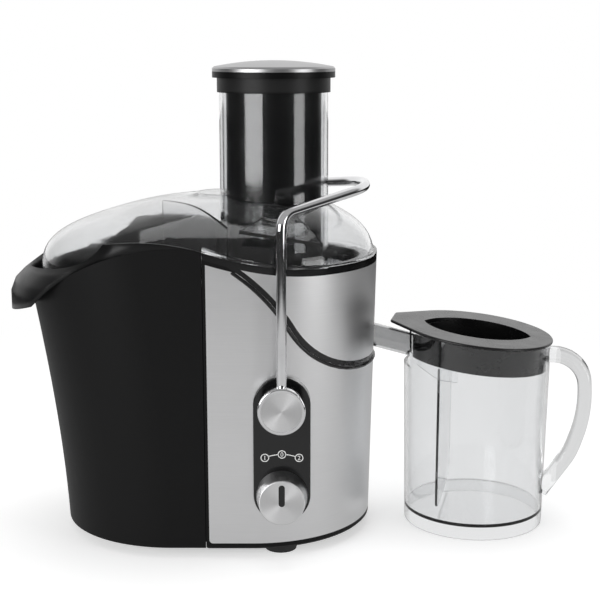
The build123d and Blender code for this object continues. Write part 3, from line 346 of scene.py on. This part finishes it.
def spun_steel(name, colour, line, centre):
    """Steel turned on a lathe, with fine rings round an axis from front to back."""
    s = Shader(name)
    s.set(Metallic=1.0, Anisotropic=0.75)
    around = s.node("ShaderNodeTangent", direction_type="RADIAL", axis="Y")
    s.link(around.outputs["Tangent"], s.base.inputs["Tangent"])
    flat = s.step("ShaderNodeVectorMath", {0: s.place(centre=centre), 1: (1, 0, 1)}, operation="MULTIPLY")
    reach = s.length(flat.outputs["Vector"])
    rings = s.step(
        "ShaderNodeTexNoise", {"W": reach, "Scale": 1 / line, "Detail": 3.0}, noise_dimensions="1D"
    ).outputs["Fac"]
    s.tint(rings, toned(colour, 0.93), toned(colour, 1.04))
    s.rough(rings, (0.28, 0.40))
    s.bump(rings, line * 0.06, 0.3)
    return s.material


def polished(name, colour, rough, metal=1.0, soften=0.0, **values):
    """Smooth surface whose shine changes a little, as handled parts do, with facets blended on request."""
    s = Shader(name)
    s.set(Metallic=metal, **values)
    here = s.place()
    smudge = s.noise(here, SMUDGES, 5.0)
    s.tint(smudge, toned(colour, 0.94), toned(colour, 1.04))
    s.rough(smudge, rough)
    bump = s.bump(s.noise(here, RIPPLES, 2.0), 0.00002, 0.15)
    if soften:
        curve = s.step("ShaderNodeBevel", {"Radius": soften}, samples=8)
        s.link(curve.outputs["Normal"], bump.inputs["Normal"])
    return s.material


def grained(name, colour, size, rough, depth=0.00008, **values):
    """Plastic, rubber or cast metal with a fine texture from the mould."""
    s = Shader(name)
    s.set(**values)
    grain = s.noise(s.place(), 1 / size, 3.0, 0.55)
    s.tint(grain, toned(colour, 0.8), toned(colour, 1.25))
    s.rough(grain, rough)
    s.bump(grain, depth, 0.6)
    return s.material


def satin_black(name, colour, sheen_colour):
    """Black plunger whose skirt over the chute gets a lighter colour, a painted sheen that stands in for the
    skirt's soft highlights.
    """
    s = Shader(name)
    s.set(Specular_IOR_Level=0.18)
    here = s.place()
    height = s.split(here)["Z"]
    grain = s.noise(here, SATIN_GRAINS, 3.0, 0.55)
    # Painted sheen: the skirt above the chute is coloured lighter in place of its soft highlights
    skirt = s.spread(height, 0.0, 1.0, CHUTE_TOP - SKIRT_DROP, CHUTE_TOP - SKIRT_DROP + SKIRT_FADE)
    below = s.math("LESS_THAN", height, CHUTE_TOP + SKIRT_GAP)
    painted_sheen = s.math("MULTIPLY", s.math("MULTIPLY", skirt, below), s.spread(grain, 0.85, 1.15))
    s.tint(painted_sheen, colour, sheen_colour, 0.0, 1.0)
    s.rough(grain, (0.34, 0.44))
    s.bump(grain, 0.00003, 0.6)
    return s.material


def clear_plastic(name, colour, edge, index=1.47, handle_x=None, rim_z=None):
    """See-through plastic with painted shade: darker where a wall is seen along, in a handle or on a sheet's
    cut rim, in place of the dark edges that refraction shows.
    """
    s = Shader(name)
    s.set(Transmission_Weight=1.0, IOR=index)
    here = s.place()
    spot = s.split(here)
    normal = s.split(s.node("ShaderNodeNewGeometry").outputs["Normal"])
    frontal = s.math("ABSOLUTE", normal["Y"])
    if rim_z is None:
        # Painted shade: walls seen along are coloured darker in place of their dark refracted edges
        slant = s.step("ShaderNodeLayerWeight", {"Blend": 0.5}).outputs["Facing"]
        upright = s.math("SUBTRACT", 1.0, s.math("ABSOLUTE", normal["Z"]))
        depth = s.math("MULTIPLY", slant, upright)
    else:
        # Painted shade on the sheet's cut rim, below its stem
        rim = s.spread(frontal, 0.0, 0.95, 0.85, 0.95)
        depth = s.math("MULTIPLY", rim, s.math("LESS_THAN", spot["Z"], rim_z))
    if handle_x is not None:
        # Painted shade on the handle, darkest on its faces turned away from front and back
        handle = s.spread(spot["X"], 0.0, 1.0, handle_x, handle_x + HANDLE_FADE)
        side = s.spread(frontal, 0.86, 0.72, 0.4, 0.8)
        depth = s.math("MAXIMUM", depth, s.math("MULTIPLY", handle, side))
    s.tint(depth, colour, toned(colour, edge), 0.6, 0.95)
    s.rough(s.noise(here, HAZE, 4.0), (0.02, 0.08))
    path = s.node("ShaderNodeLightPath").outputs
    lighting = s.math("MAXIMUM", path["Is Shadow Ray"], path["Is Diffuse Ray"])
    passing = s.step("ShaderNodeBsdfTransparent", {"Color": (*toned(colour, 0.97), 1)})
    s.blend(lighting, s.base.outputs["BSDF"], passing.outputs["BSDF"])
    return s.material


def layered(name, colour, pitch, rough, axis):
    """Thin metal sheets or wires that lie side by side along an axis."""
    s = Shader(name)
    s.set(Metallic=1.0)
    wave = s.step(
        "ShaderNodeTexWave", {"Vector": s.place(), "Scale": WAVE_LENGTH / pitch, "Distortion": 0.4},
        wave_type="BANDS", bands_direction=axis,
    ).outputs["Fac"]
    s.tint(wave, toned(colour, 0.6), colour)
    s.rough(wave, rough)
    s.bump(wave, pitch * 0.15, 0.5)
    return s.material


def dress(material, *nodes):
    """Gives CAD nodes a finish."""
    for name in nodes:
        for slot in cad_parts[name].material_slots:
            slot.material = material


def mesh_piece(name, mesh, material, body):
    """New piece in the row frame that rides on a body."""
    piece = bpy.data.objects.new(name, mesh)
    bpy.context.scene.collection.objects.link(piece)
    mesh.materials.clear()
    mesh.materials.append(material)
    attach(piece, body)
    return piece


class Recipe(Tree):
    """Geometry node tree with named inputs, ending in one realised and painted geometry."""

    def __init__(self, name):
        super().__init__(bpy.data.node_groups.new(name, "GeometryNodeTree"))
        self.sockets = {}
        self.tree.interface.new_socket("Geometry", in_out="INPUT", socket_type="NodeSocketGeometry")
        self.tree.interface.new_socket("Geometry", in_out="OUTPUT", socket_type="NodeSocketGeometry")
        self.given = self.node("NodeGroupInput")

    def input(self, name, value):
        """Named number of the tree, whole or with a fraction."""
        kind = "NodeSocketInt" if isinstance(value, int) else "NodeSocketFloat"
        socket = self.tree.interface.new_socket(name, in_out="INPUT", socket_type=kind)
        self.sockets[socket.identifier] = value
        return self.given.outputs[name]

    def vector(self, x=0.0, y=0.0, z=0.0):
        return self.step("ShaderNodeCombineXYZ", {"X": x, "Y": y, "Z": z}).outputs["Vector"]

    def ring(self, count, radius):
        """Points spaced evenly round a circle."""
        circle = self.step("GeometryNodeMeshCircle", {"Vertices": count, "Radius": radius})
        return self.step("GeometryNodeMeshToPoints", {"Mesh": circle.outputs["Mesh"]}).outputs["Points"]

    def copies(self, points, instance, **inputs):
        """One shape set on each point."""
        return self.step(
            "GeometryNodeInstanceOnPoints", {"Points": points, "Instance": instance, **inputs}
        ).outputs["Instances"]

    def finish(self, geometry, material):
        """Realises and paints the result."""
        real = self.step("GeometryNodeRealizeInstances", {"Geometry": geometry})
        paint = self.step(
            "GeometryNodeSetMaterial", {"Geometry": real.outputs["Geometry"], "Material": material}
        )
        self.link(paint.outputs["Geometry"], self.node("NodeGroupOutput").inputs["Geometry"])

    def mesh(self, name, points=((0, 0, 0),), edges=()):
        """Runs the tree on a few points and gives a plain mesh."""
        start = bpy.data.meshes.new(name)
        start.from_pydata(list(points), list(edges), [])
        holder = bpy.data.objects.new(name, start)
        bpy.context.scene.collection.objects.link(holder)
        modifier = holder.modifiers.new("recipe", "NODES")
        modifier.node_group = self.tree
        for identifier, value in self.sockets.items():
            modifier[identifier] = value
        bpy.context.view_layer.update()
        seen = holder.evaluated_get(bpy.context.evaluated_depsgraph_get())
        mesh = bpy.data.meshes.new_from_object(seen)
        bpy.data.objects.remove(holder)
        bpy.data.meshes.remove(start)
        if not mesh.polygons:
            raise RuntimeError(name + " came out empty")
        mesh.name = name
        return mesh


def gasket_edge(drop):
    """Points on the housing, a drop below the gasket, from the front seam round to the back one."""
    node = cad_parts["seam_gasket"]
    tree = BVHTree.FromPolygons(
        [vertex.co for vertex in node.data.vertices], [face.vertices for face in node.data.polygons]
    )
    levels = int((GASKET_HIGH - GASKET_LOW) / SEARCH_RISE)
    edge = []
    for degrees in range(-SEAM_TURN, SEAM_TURN + 1, SEAM_STEP):
        turn = math.radians(degrees)
        way = Vector((math.cos(turn), math.sin(turn), 0))
        for level in range(levels):
            height = GASKET_LOW + (level + 0.5) * SEARCH_RISE
            axis = Vector((AXIS_X, 0, height))
            hit = tree.ray_cast(axis + way * SEARCH_START, -way, SEARCH_DEPTH)[0]
            if hit:
                edge.append((turn, (hit - axis).length, height))
                break
    points = []
    for index, (turn, radius, height) in enumerate(edge):
        before = edge[max(index - 2, 0)]
        after = edge[min(index + 2, len(edge) - 1)]
        along = Vector(((after[0] - before[0]) * radius, after[2] - before[2])).normalized()
        turn += along.y * drop / radius
        height -= along.x * drop
        points.append((AXIS_X + radius * math.cos(turn), radius * math.sin(turn), height))
    return points


def printed_arc(build, centre, radius, start, stop, width, ink):
    """Thin raised line along an arc, or a ring where it goes all the way round."""
    ring = abs(stop - start - math.tau) < 1e-6
    inner = radius - width / 2
    outer = radius + width / 2
    rows = []
    for step in range(ARC_STEPS if ring else ARC_STEPS + 1):
        angle = start + (stop - start) * step / ARC_STEPS
        row = []
        for reach, height in ((inner, 0), (outer, 0), (outer, ink), (inner, ink)):
            place = (centre[0] + reach * math.sin(angle), centre[1] + reach * math.cos(angle), height)
            row.append(build.verts.new(place))
        rows.append(row)
    for before, after in zip(rows, rows[1:] + rows[:1] if ring else rows[1:]):
        for side in range(4):
            turn = (side + 1) % 4
            build.faces.new((before[side], before[turn], after[turn], after[side]))
    if not ring:
        build.faces.new(rows[0][::-1])
        build.faces.new(rows[-1])
    bmesh.ops.recalc_face_normals(build, faces=build.faces)


def printed_digit(build, digit, centre, height, ink):
    """One number, centred on a place."""
    font_size = 1.4
    curve = bpy.data.curves.new("digit", "FONT")
    curve.body = digit
    curve.size = height * font_size
    curve.align_x = "CENTER"
    curve.align_y = "CENTER"
    curve.extrude = ink / 2
    curve.resolution_u = DIGIT_STEPS
    holder = bpy.data.objects.new("digit", curve)
    bpy.context.scene.collection.objects.link(holder)
    bpy.context.view_layer.update()
    mesh = bpy.data.meshes.new_from_object(holder)
    bpy.data.objects.remove(holder)
    shift = []
    for axis in (0, 1):
        reach = [vertex.co[axis] for vertex in mesh.vertices]
        shift.append(centre[axis] - (min(reach) + max(reach)) / 2)
    mesh.transform(Matrix.Translation((*shift, ink / 2)))
    build.from_mesh(mesh)
    bpy.data.meshes.remove(mesh)


class JUICER_OT_motor_base(bpy.types.Operator):
    """Motor base: brushed skin, black mouldings, gasket with its bead, feet and screws"""

    bl_idname = "juicer.motor_base"
    bl_label = "Motor base"

    def execute(self, context):
        looks = context.scene.juicer_finishes
        details = context.scene.juicer_details
        black = looks.gloss_black
        steel = brushed_steel("juicer_brushed_steel", looks.steel, looks.brush_line)
        matte = grained(
            "juicer_matte_black", looks.matte_black, looks.grain, rough=(0.42, 0.58), Specular_IOR_Level=0.15
        )
        gloss = polished("juicer_gloss_black", black, rough=(0.10, 0.18), metal=0.0)
        collar = polished(
            "juicer_collar_black", black, rough=(0.30, 0.40), metal=0.0, soften=0.007, Specular_IOR_Level=0.30
        )
        gasket = polished("juicer_gasket_black", black, rough=(0.22, 0.32), metal=0.0)
        rubber = grained("juicer_rubber", looks.rubber, size=0.0009, rough=(0.55, 0.75), depth=0.00012)
        screws = polished("juicer_screw_steel", looks.screw_steel, rough=(0.25, 0.40))
        dress(steel, "housing_skin", "bowl_shroud")
        dress(matte, "base_plate", "motor_housing", "pulp_bin")
        dress(gloss, "control_pad", "rear_pad", "juice_bowl", "basket_hub")
        dress(collar, "bin_collar")
        dress(gasket, "seam_gasket")
        dress(rubber, "feet", "cord_gland", "motor_mounts")
        self.lay_bead(details, gasket)
        self.set_screws(details, screws)
        return {"FINISHED"}

    def lay_bead(self, details, finish):
        """Second bead of the gasket, along its lower edge."""
        points = gasket_edge(details.bead_radius + details.bead_gap)
        pairs = [(index, index + 1) for index in range(len(points) - 1)]
        recipe = Recipe("gasket_bead")
        radius = recipe.input("Bead radius", details.bead_radius)
        path = recipe.step("GeometryNodeMeshToCurve", {"Mesh": recipe.given.outputs["Geometry"]})
        even = recipe.step("GeometryNodeResampleCurve", {"Curve": path.outputs["Curve"], "Count": BEAD_STEPS})
        profile = recipe.step(
            "GeometryNodeCurvePrimitiveCircle", {"Resolution": BEAD_SIDES, "Radius": radius}
        )
        bead = recipe.step("GeometryNodeCurveToMesh", {
            "Curve": even.outputs["Curve"], "Profile Curve": profile.outputs["Curve"], "Fill Caps": True
        })
        smooth = recipe.step("GeometryNodeSetShadeSmooth", {"Geometry": bead.outputs["Mesh"]})
        recipe.finish(smooth.outputs["Geometry"], finish)
        mesh_piece("gasket_bead", recipe.mesh("gasket_bead", points, pairs), finish, "base")

    def set_screws(self, details, finish):
        """Screws with crossed slots, in shares of the head's size, that hold the base plate."""
        taper, slot_length, slot_width, slot_rise = 0.82, 1.2, 0.26, 0.9
        recipe = Recipe("base_screws")
        count = recipe.input("Screws", details.screw_count)
        ring = recipe.input("Screw circle", details.screw_ring)
        radius = recipe.input("Head radius", details.screw_radius)
        height = recipe.input("Head height", details.screw_height)
        head = recipe.step("GeometryNodeMeshCone", {
            "Vertices": SCREW_SIDES, "Radius Top": recipe.math("MULTIPLY", radius, taper),
            "Radius Bottom": radius, "Depth": height,
        })
        long = recipe.math("MULTIPLY", radius, slot_length)
        short = recipe.math("MULTIPLY", radius, slot_width)
        rise = recipe.vector(z=recipe.math("MULTIPLY", height, slot_rise))
        slotted = recipe.node("GeometryNodeMeshBoolean", operation="DIFFERENCE", solver="EXACT")
        recipe.link(head.outputs["Mesh"], slotted.inputs["Mesh 1"])
        for x, y in ((long, short), (short, long)):
            bar = recipe.step("GeometryNodeMeshCube", {"Size": recipe.vector(x, y, height)})
            cut = recipe.step(
                "GeometryNodeTransform", {"Geometry": bar.outputs["Mesh"], "Translation": rise}
            )
            recipe.link(cut.outputs["Geometry"], slotted.inputs["Mesh 2"])
        recipe.finish(recipe.copies(recipe.ring(count, ring), slotted.outputs["Mesh"]), finish)
        mesh = recipe.mesh("base_screws")
        mesh.transform(Matrix.Translation((AXIS_X, 0, PLATE_UNDER)) @ Matrix.Rotation(math.pi, 4, "X"))
        mesh_piece("base_screws", mesh, finish, "base")


class JUICER_OT_lid_and_plunger(bpy.types.Operator):
    """Clear lid with its feed chute, spout, plunger and cap"""

    bl_idname = "juicer.lid_and_plunger"
    bl_label = "Lid and plunger"

    def execute(self, context):
        looks = context.scene.juicer_finishes
        dress(clear_plastic("juicer_clear_plastic", looks.clear, edge=0.97), "lid")
        # The spout's tint and edges are made dark, a painted shade in place of the black bowl outlet that
        # shows through it
        dress(clear_plastic("juicer_spout_plastic", toned(looks.clear, 0.6), edge=0.2), "juice_spout")
        dress(satin_black("juicer_plunger_black", looks.plunger_black, looks.skirt_sheen_black), "plunger")
        dress(polished("juicer_silver_cap", looks.silver_cap, rough=(0.34, 0.42)), "plunger_cap")
        return {"FINISHED"}


class JUICER_OT_lock_arm(bpy.types.Operator):
    """Polished lock arm, its pivots and their spun caps"""

    bl_idname = "juicer.lock_arm"
    bl_label = "Lock arm"

    def execute(self, context):
        looks = context.scene.juicer_finishes
        centre = (KNOB_X, 0, RING_Z)
        dress(polished("juicer_chrome", looks.chrome, rough=(0.05, 0.11)), "lock_arm", "pivot_rings")
        dress(spun_steel("juicer_pivot_cap", looks.steel, line=0.0003, centre=centre), "pivot_caps")
        dress(polished("juicer_steel", looks.plain_steel, rough=(0.25, 0.40)), "pivot_pins")
        return {"FINISHED"}


class JUICER_OT_speed_knob(bpy.types.Operator):
    """Spun speed knob, its pointer and shaft, and the printed dial"""

    bl_idname = "juicer.speed_knob"
    bl_label = "Speed knob and dial"

    def execute(self, context):
        looks = context.scene.juicer_finishes
        centre = (KNOB_X, 0, KNOB_Z)
        pointer = polished("juicer_pointer_black", looks.gloss_black, rough=(0.15, 0.25), metal=0.0)
        ink = grained("juicer_dial_ink", looks.ink, size=0.0003, rough=(0.45, 0.60), depth=0.00001)
        dress(spun_steel("juicer_knob_steel", looks.steel, line=0.00025, centre=centre), "knob")
        dress(pointer, "knob_pointer")
        dress(polished("juicer_knob_shaft", looks.plain_steel, rough=(0.25, 0.40)), "knob_shaft")
        self.print_dial(context.scene.juicer_dial, ink)
        return {"FINISHED"}

    def print_dial(self, dial, finish):
        """Numbers in circles, joined by lines, on the pad above the knob."""
        build = bmesh.new()
        gap = dial.mark_radius / dial.reach
        for step, digit in ((-1, "1"), (0, "0"), (1, "2")):
            angle = step * dial.spread
            centre = (dial.reach * math.sin(angle), dial.reach * math.cos(angle))
            printed_arc(build, centre, dial.mark_radius, 0, math.tau, dial.line_width, dial.ink)
            printed_digit(build, digit, centre, dial.digit_height, dial.ink)
        for step in (-1, 0):
            start = step * dial.spread + gap
            stop = (step + 1) * dial.spread - gap
            printed_arc(build, (0, 0), dial.reach, start, stop, dial.line_width, dial.ink)
        upright = Matrix.Rotation(math.pi / 2, 4, "X")
        build.transform(Matrix.Translation((KNOB_X, PAD_FRONT, KNOB_Z)) @ upright)
        mesh = bpy.data.meshes.new("dial_marks")
        build.to_mesh(mesh)
        build.free()
        mesh_piece("dial_marks", mesh, finish, "base")


class JUICER_OT_jug(bpy.types.Operator):
    """Clear juice jug, its lid and the foam separator"""

    bl_idname = "juicer.jug"
    bl_label = "Juice jug"

    def execute(self, context):
        looks = context.scene.juicer_finishes
        clear = clear_plastic(
            "juicer_jug_plastic", toned(looks.clear, 0.955), edge=0.35, handle_x=HANDLE_START
        )
        sheet = clear_plastic(
            "juicer_separator_plastic", toned(looks.clear, 1.06), edge=0.06, index=1.2, rim_z=SEPARATOR_STEM
        )
        lid = polished(
            "juicer_jug_lid", looks.jug_lid_black, rough=(0.2, 0.3), metal=0.0, Specular_IOR_Level=0.4
        )
        dress(clear, "jug")
        dress(sheet, "foam_separator")
        dress(lid, "jug_lid")
        return {"FINISHED"}


class JUICER_OT_motor(bpy.types.Operator):
    """Motor, switches and basket inside, with the small teeth of the grater"""

    bl_idname = "juicer.motor"
    bl_label = "Motor and basket"

    def execute(self, context):
        looks = context.scene.juicer_finishes
        steel = polished("juicer_plain_steel", looks.plain_steel, rough=(0.22, 0.36))
        laminated = layered(
            "juicer_laminated_steel", looks.laminated, pitch=0.0006, rough=(0.35, 0.55), axis="Z"
        )
        copper = layered("juicer_copper_wire", looks.copper, pitch=0.0008, rough=(0.25, 0.40), axis="X")
        bronze = polished("juicer_bronze", looks.bronze, rough=(0.30, 0.42))
        nylon = grained("juicer_white_nylon", looks.nylon, size=0.0010, rough=(0.40, 0.55))
        cast = grained(
            "juicer_cast_aluminium", looks.aluminium, size=0.0012, rough=(0.45, 0.60), Metallic=1.0
        )
        black = grained("juicer_switch_black", looks.switch_black, looks.grain, rough=(0.42, 0.58))
        dress(steel, "motor_shaft", "motor_pillars", "sieve", "grater_disc", "basket_ring")
        dress(laminated, "armature", "motor_stator")
        dress(copper, "field_coils", "commutator")
        dress(bronze, "lower_bearing", "upper_bearing", "brush_holders")
        dress(nylon, "cooling_fan", "drive_coupling")
        dress(cast, "lower_bracket", "upper_bracket")
        dress(black, "rotary_switch", "interlock_switch")
        self.press_teeth(context.scene.juicer_details, steel)
        return {"FINISHED"}

    def press_teeth(self, details, finish):
        """Curved rows of small teeth between the large ones of the grater."""
        tip, hub_radius = 0.15, 0.0001
        recipe = Recipe("grater_teeth")
        rows = recipe.input("Rows", details.row_count)
        count = recipe.input("Teeth", details.row_teeth)
        start = recipe.input("Row start", details.row_start)
        end = recipe.input("Row end", details.row_end)
        sweep = recipe.input("Row sweep", details.row_sweep)
        foot = recipe.input("Tooth radius", details.tooth_radius)
        height = recipe.input("Tooth height", details.tooth_height)
        row = recipe.step("GeometryNodeCurveSpiral", {
            "Resolution": ROW_STEPS, "Rotations": sweep,
            "Start Radius": start, "End Radius": end, "Height": 0.0,
        })
        line = recipe.step("GeometryNodeCurveToPoints", {"Curve": row.outputs["Curve"], "Count": count})
        tooth = recipe.step("GeometryNodeMeshCone", {
            "Vertices": TOOTH_SIDES, "Radius Top": recipe.math("MULTIPLY", foot, tip),
            "Radius Bottom": foot, "Depth": height,
        })
        teeth = recipe.copies(line.outputs["Points"], tooth.outputs["Mesh"])
        part = recipe.math("DIVIDE", recipe.node("GeometryNodeInputIndex").outputs["Index"], rows)
        spin = recipe.vector(z=recipe.math("MULTIPLY", part, math.tau))
        recipe.finish(recipe.copies(recipe.ring(rows, hub_radius), teeth, Rotation=spin), finish)
        mesh = recipe.mesh("grater_teeth")
        mesh.transform(Matrix.Translation((AXIS_X, 0, GRATER_TOP)))
        mesh_piece("grater_teeth", mesh, finish, "rotor")


class JUICER_OT_studio(bpy.types.Operator):
    """White floor, soft boxes, room light and the camera"""

    bl_idname = "juicer.studio"
    bl_label = "Studio"

    def execute(self, context):
        scene = context.scene
        studio = scene.juicer_studio
        scene.view_settings.view_transform = "Standard"
        self.floor(studio.fill)
        self.room(scene, studio.fill)
        self.soft_box("key_box", place=(-1.16, -1.25, 0.52), aim=(0, 0, 0.52), size=(1.2, 0.80), power=15.8)
        self.soft_box("side_box", place=(1.37, -0.92, 0.46), aim=(0, 0, 0.46), size=(0.7, 0.88), power=7.2)
        top = self.soft_box("top_box", place=(0, 0.2, 1.6), aim=(0, 0, 0.1), size=(1.2, 0.8), power=9.0)
        top.visible_glossy = False
        camera = bpy.data.objects.new("camera", bpy.data.cameras.new("camera"))
        camera.data.lens = studio.lens
        camera.data.sensor_width = SENSOR_WIDTH
        camera.location = (studio.camera_x, studio.camera_y, studio.camera_z)
        camera.rotation_euler = (math.pi / 2 - studio.tilt, 0, 0)
        scene.collection.objects.link(camera)
        scene.camera = camera
        return {"FINISHED"}

    def floor(self, fill):
        """Floor that keeps the shadow near the juicer and turns into a white backdrop farther away."""
        mesh = bpy.data.meshes.new("floor")
        build = bmesh.new()
        bmesh.ops.create_grid(build, x_segments=8, y_segments=8, size=FLOOR_HALF)
        build.to_mesh(mesh)
        build.free()
        s = Shader("studio_floor")
        s.set(Roughness=0.6, Specular_IOR_Level=0.1)
        here = s.place()
        spot = s.split(here)
        path = s.node("ShaderNodeLightPath").outputs
        s.tint(s.noise(here, FLOOR_CLOUDS), (0.80, 0.80, 0.80), (0.82, 0.82, 0.82))

        # Polished parts mirror a pale oval table in a dark room
        oval = s.length(s.place(size=(*TABLE_HALF, 1)))
        table = s.math(
            "MULTIPLY",
            s.fade(oval, TABLE_EDGE, TABLE_LEVEL, TABLE_OUTSIDE),
            s.fade(spot["Y"], TABLE_BACK, 1.0, TABLE_BACK_LEVEL),
        )
        mirrored = s.math("MULTIPLY", path["Is Glossy Ray"], table)

        # Clear parts show a white wedge behind them, and darker sides that draw their edges
        aside = s.math("ABSOLUTE", s.math("SUBTRACT", spot["X"], WEDGE_X))
        slope = s.math("MULTIPLY", aside, WEDGE_SLOPE)
        behind = s.math("SUBTRACT", spot["Y"], slope)
        facing = s.math("SUBTRACT", s.math("ABSOLUTE", spot["Y"]), slope)
        bent = s.seen_through(path, behind, facing, WEDGE_EDGE, WEDGE_OUTSIDE)
        through = s.math("MULTIPLY", path["Is Transmission Ray"], bent)

        seen = s.math("MAXIMUM", path["Is Camera Ray"], through)
        lift = s.step("ShaderNodeEmission", {"Strength": s.math("MULTIPLY", seen, FLOOR_LIFT)})
        near = s.step("ShaderNodeAddShader", {0: s.base.outputs["BSDF"], 1: lift.outputs["Emission"]})
        dim = s.math("MULTIPLY", path["Is Diffuse Ray"], fill)
        glow = s.math("MAXIMUM", s.math("MAXIMUM", seen, mirrored), dim)
        far = s.step("ShaderNodeEmission", {"Strength": glow})
        away = s.fade(s.length(here), BACKDROP_SPAN, 0.0, 1.0)
        plain = s.math("MULTIPLY", path["Is Glossy Ray"], TABLE_SHARE)
        s.blend(s.math("MAXIMUM", away, plain), near.outputs["Shader"], far.outputs["Emission"])
        floor = bpy.data.objects.new("floor", mesh)
        floor.data.materials.append(s.material)
        bpy.context.scene.collection.objects.link(floor)

    def room(self, scene, fill):
        """Even room light, white to the camera, with its own walls for mirrors and for clear parts."""
        world = bpy.data.worlds.new("studio_room")
        world.use_nodes = True
        scene.world = world
        t = Tree(world.node_tree)
        path = t.node("ShaderNodeLightPath").outputs
        way = t.split(t.node("ShaderNodeTexCoord").outputs["Generated"])
        back = t.fade(way["Y"], BACK_SPAN, BACK_OUTSIDE, 1.0)
        above = t.fade(way["Z"], ABOVE_SPAN, 0.0, ABOVE_LEVEL)
        walls = t.math("MAXIMUM", back, above)
        straight = t.math("ABSOLUTE", way["Y"])
        through = t.seen_through(path, way["Y"], straight, THROUGH_SPAN, THROUGH_OUTSIDE)
        level = t.mixed(path["Is Glossy Ray"], fill, walls)
        level = t.mixed(path["Is Transmission Ray"], level, through)
        level = t.mixed(path["Is Camera Ray"], level, 1.0)
        background = t.tree.nodes["Background"]
        background.inputs["Color"].default_value = (1, 1, 1, 1)
        t.link(level, background.inputs["Strength"])

    def soft_box(self, name, place, aim, size, power):
        """Lamp with a level rectangular face, turned to a point."""
        light = bpy.data.lights.new(name, "AREA")
        light.shape = "RECTANGLE"
        light.size, light.size_y = size
        light.energy = power
        lamp = bpy.data.objects.new(name, light)
        lamp.location = place
        towards = Vector(aim) - Vector(place)
        lamp.rotation_euler = towards.to_track_quat("-Z", "Y").to_euler()
        bpy.context.scene.collection.objects.link(lamp)
        return lamp


GROUPS = {
    "juicer_finishes": JuicerFinishes,
    "juicer_dial": JuicerDial,
    "juicer_details": JuicerDetails,
    "juicer_studio": JuicerStudio,
}

OPERATORS = (
    JUICER_OT_motor_base,
    JUICER_OT_lid_and_plunger,
    JUICER_OT_lock_arm,
    JUICER_OT_speed_knob,
    JUICER_OT_jug,
    JUICER_OT_motor,
    JUICER_OT_studio,
)


class JUICER_PT_panel(bpy.types.Panel):
    """Lists the juicer's pieces and their sizes"""

    bl_idname = "JUICER_PT_panel"
    bl_label = "Juicer"
    bl_space_type = "VIEW_3D"
    bl_region_type = "UI"
    bl_category = "Juicer"

    def draw(self, context):
        for group in GROUPS:
            values = getattr(context.scene, group)
            for name in values.__annotations__:
                self.layout.prop(values, name)
        for operator in OPERATORS:
            self.layout.operator(operator.bl_idname)


CLASSES = (*GROUPS.values(), *OPERATORS, JUICER_PT_panel)


def register():
    for cls in CLASSES:
        bpy.utils.register_class(cls)
    for name, group in GROUPS.items():
        setattr(bpy.types.Scene, name, PointerProperty(type=group))


def unregister():
    for name in GROUPS:
        delattr(bpy.types.Scene, name)
    for cls in reversed(CLASSES):
        bpy.utils.unregister_class(cls)


def main():
    register()
    for operator in OPERATORS:
        space, name = operator.bl_idname.split(".")
        getattr(getattr(bpy.ops, space), name)()


if __name__ == "__main__":
    main()
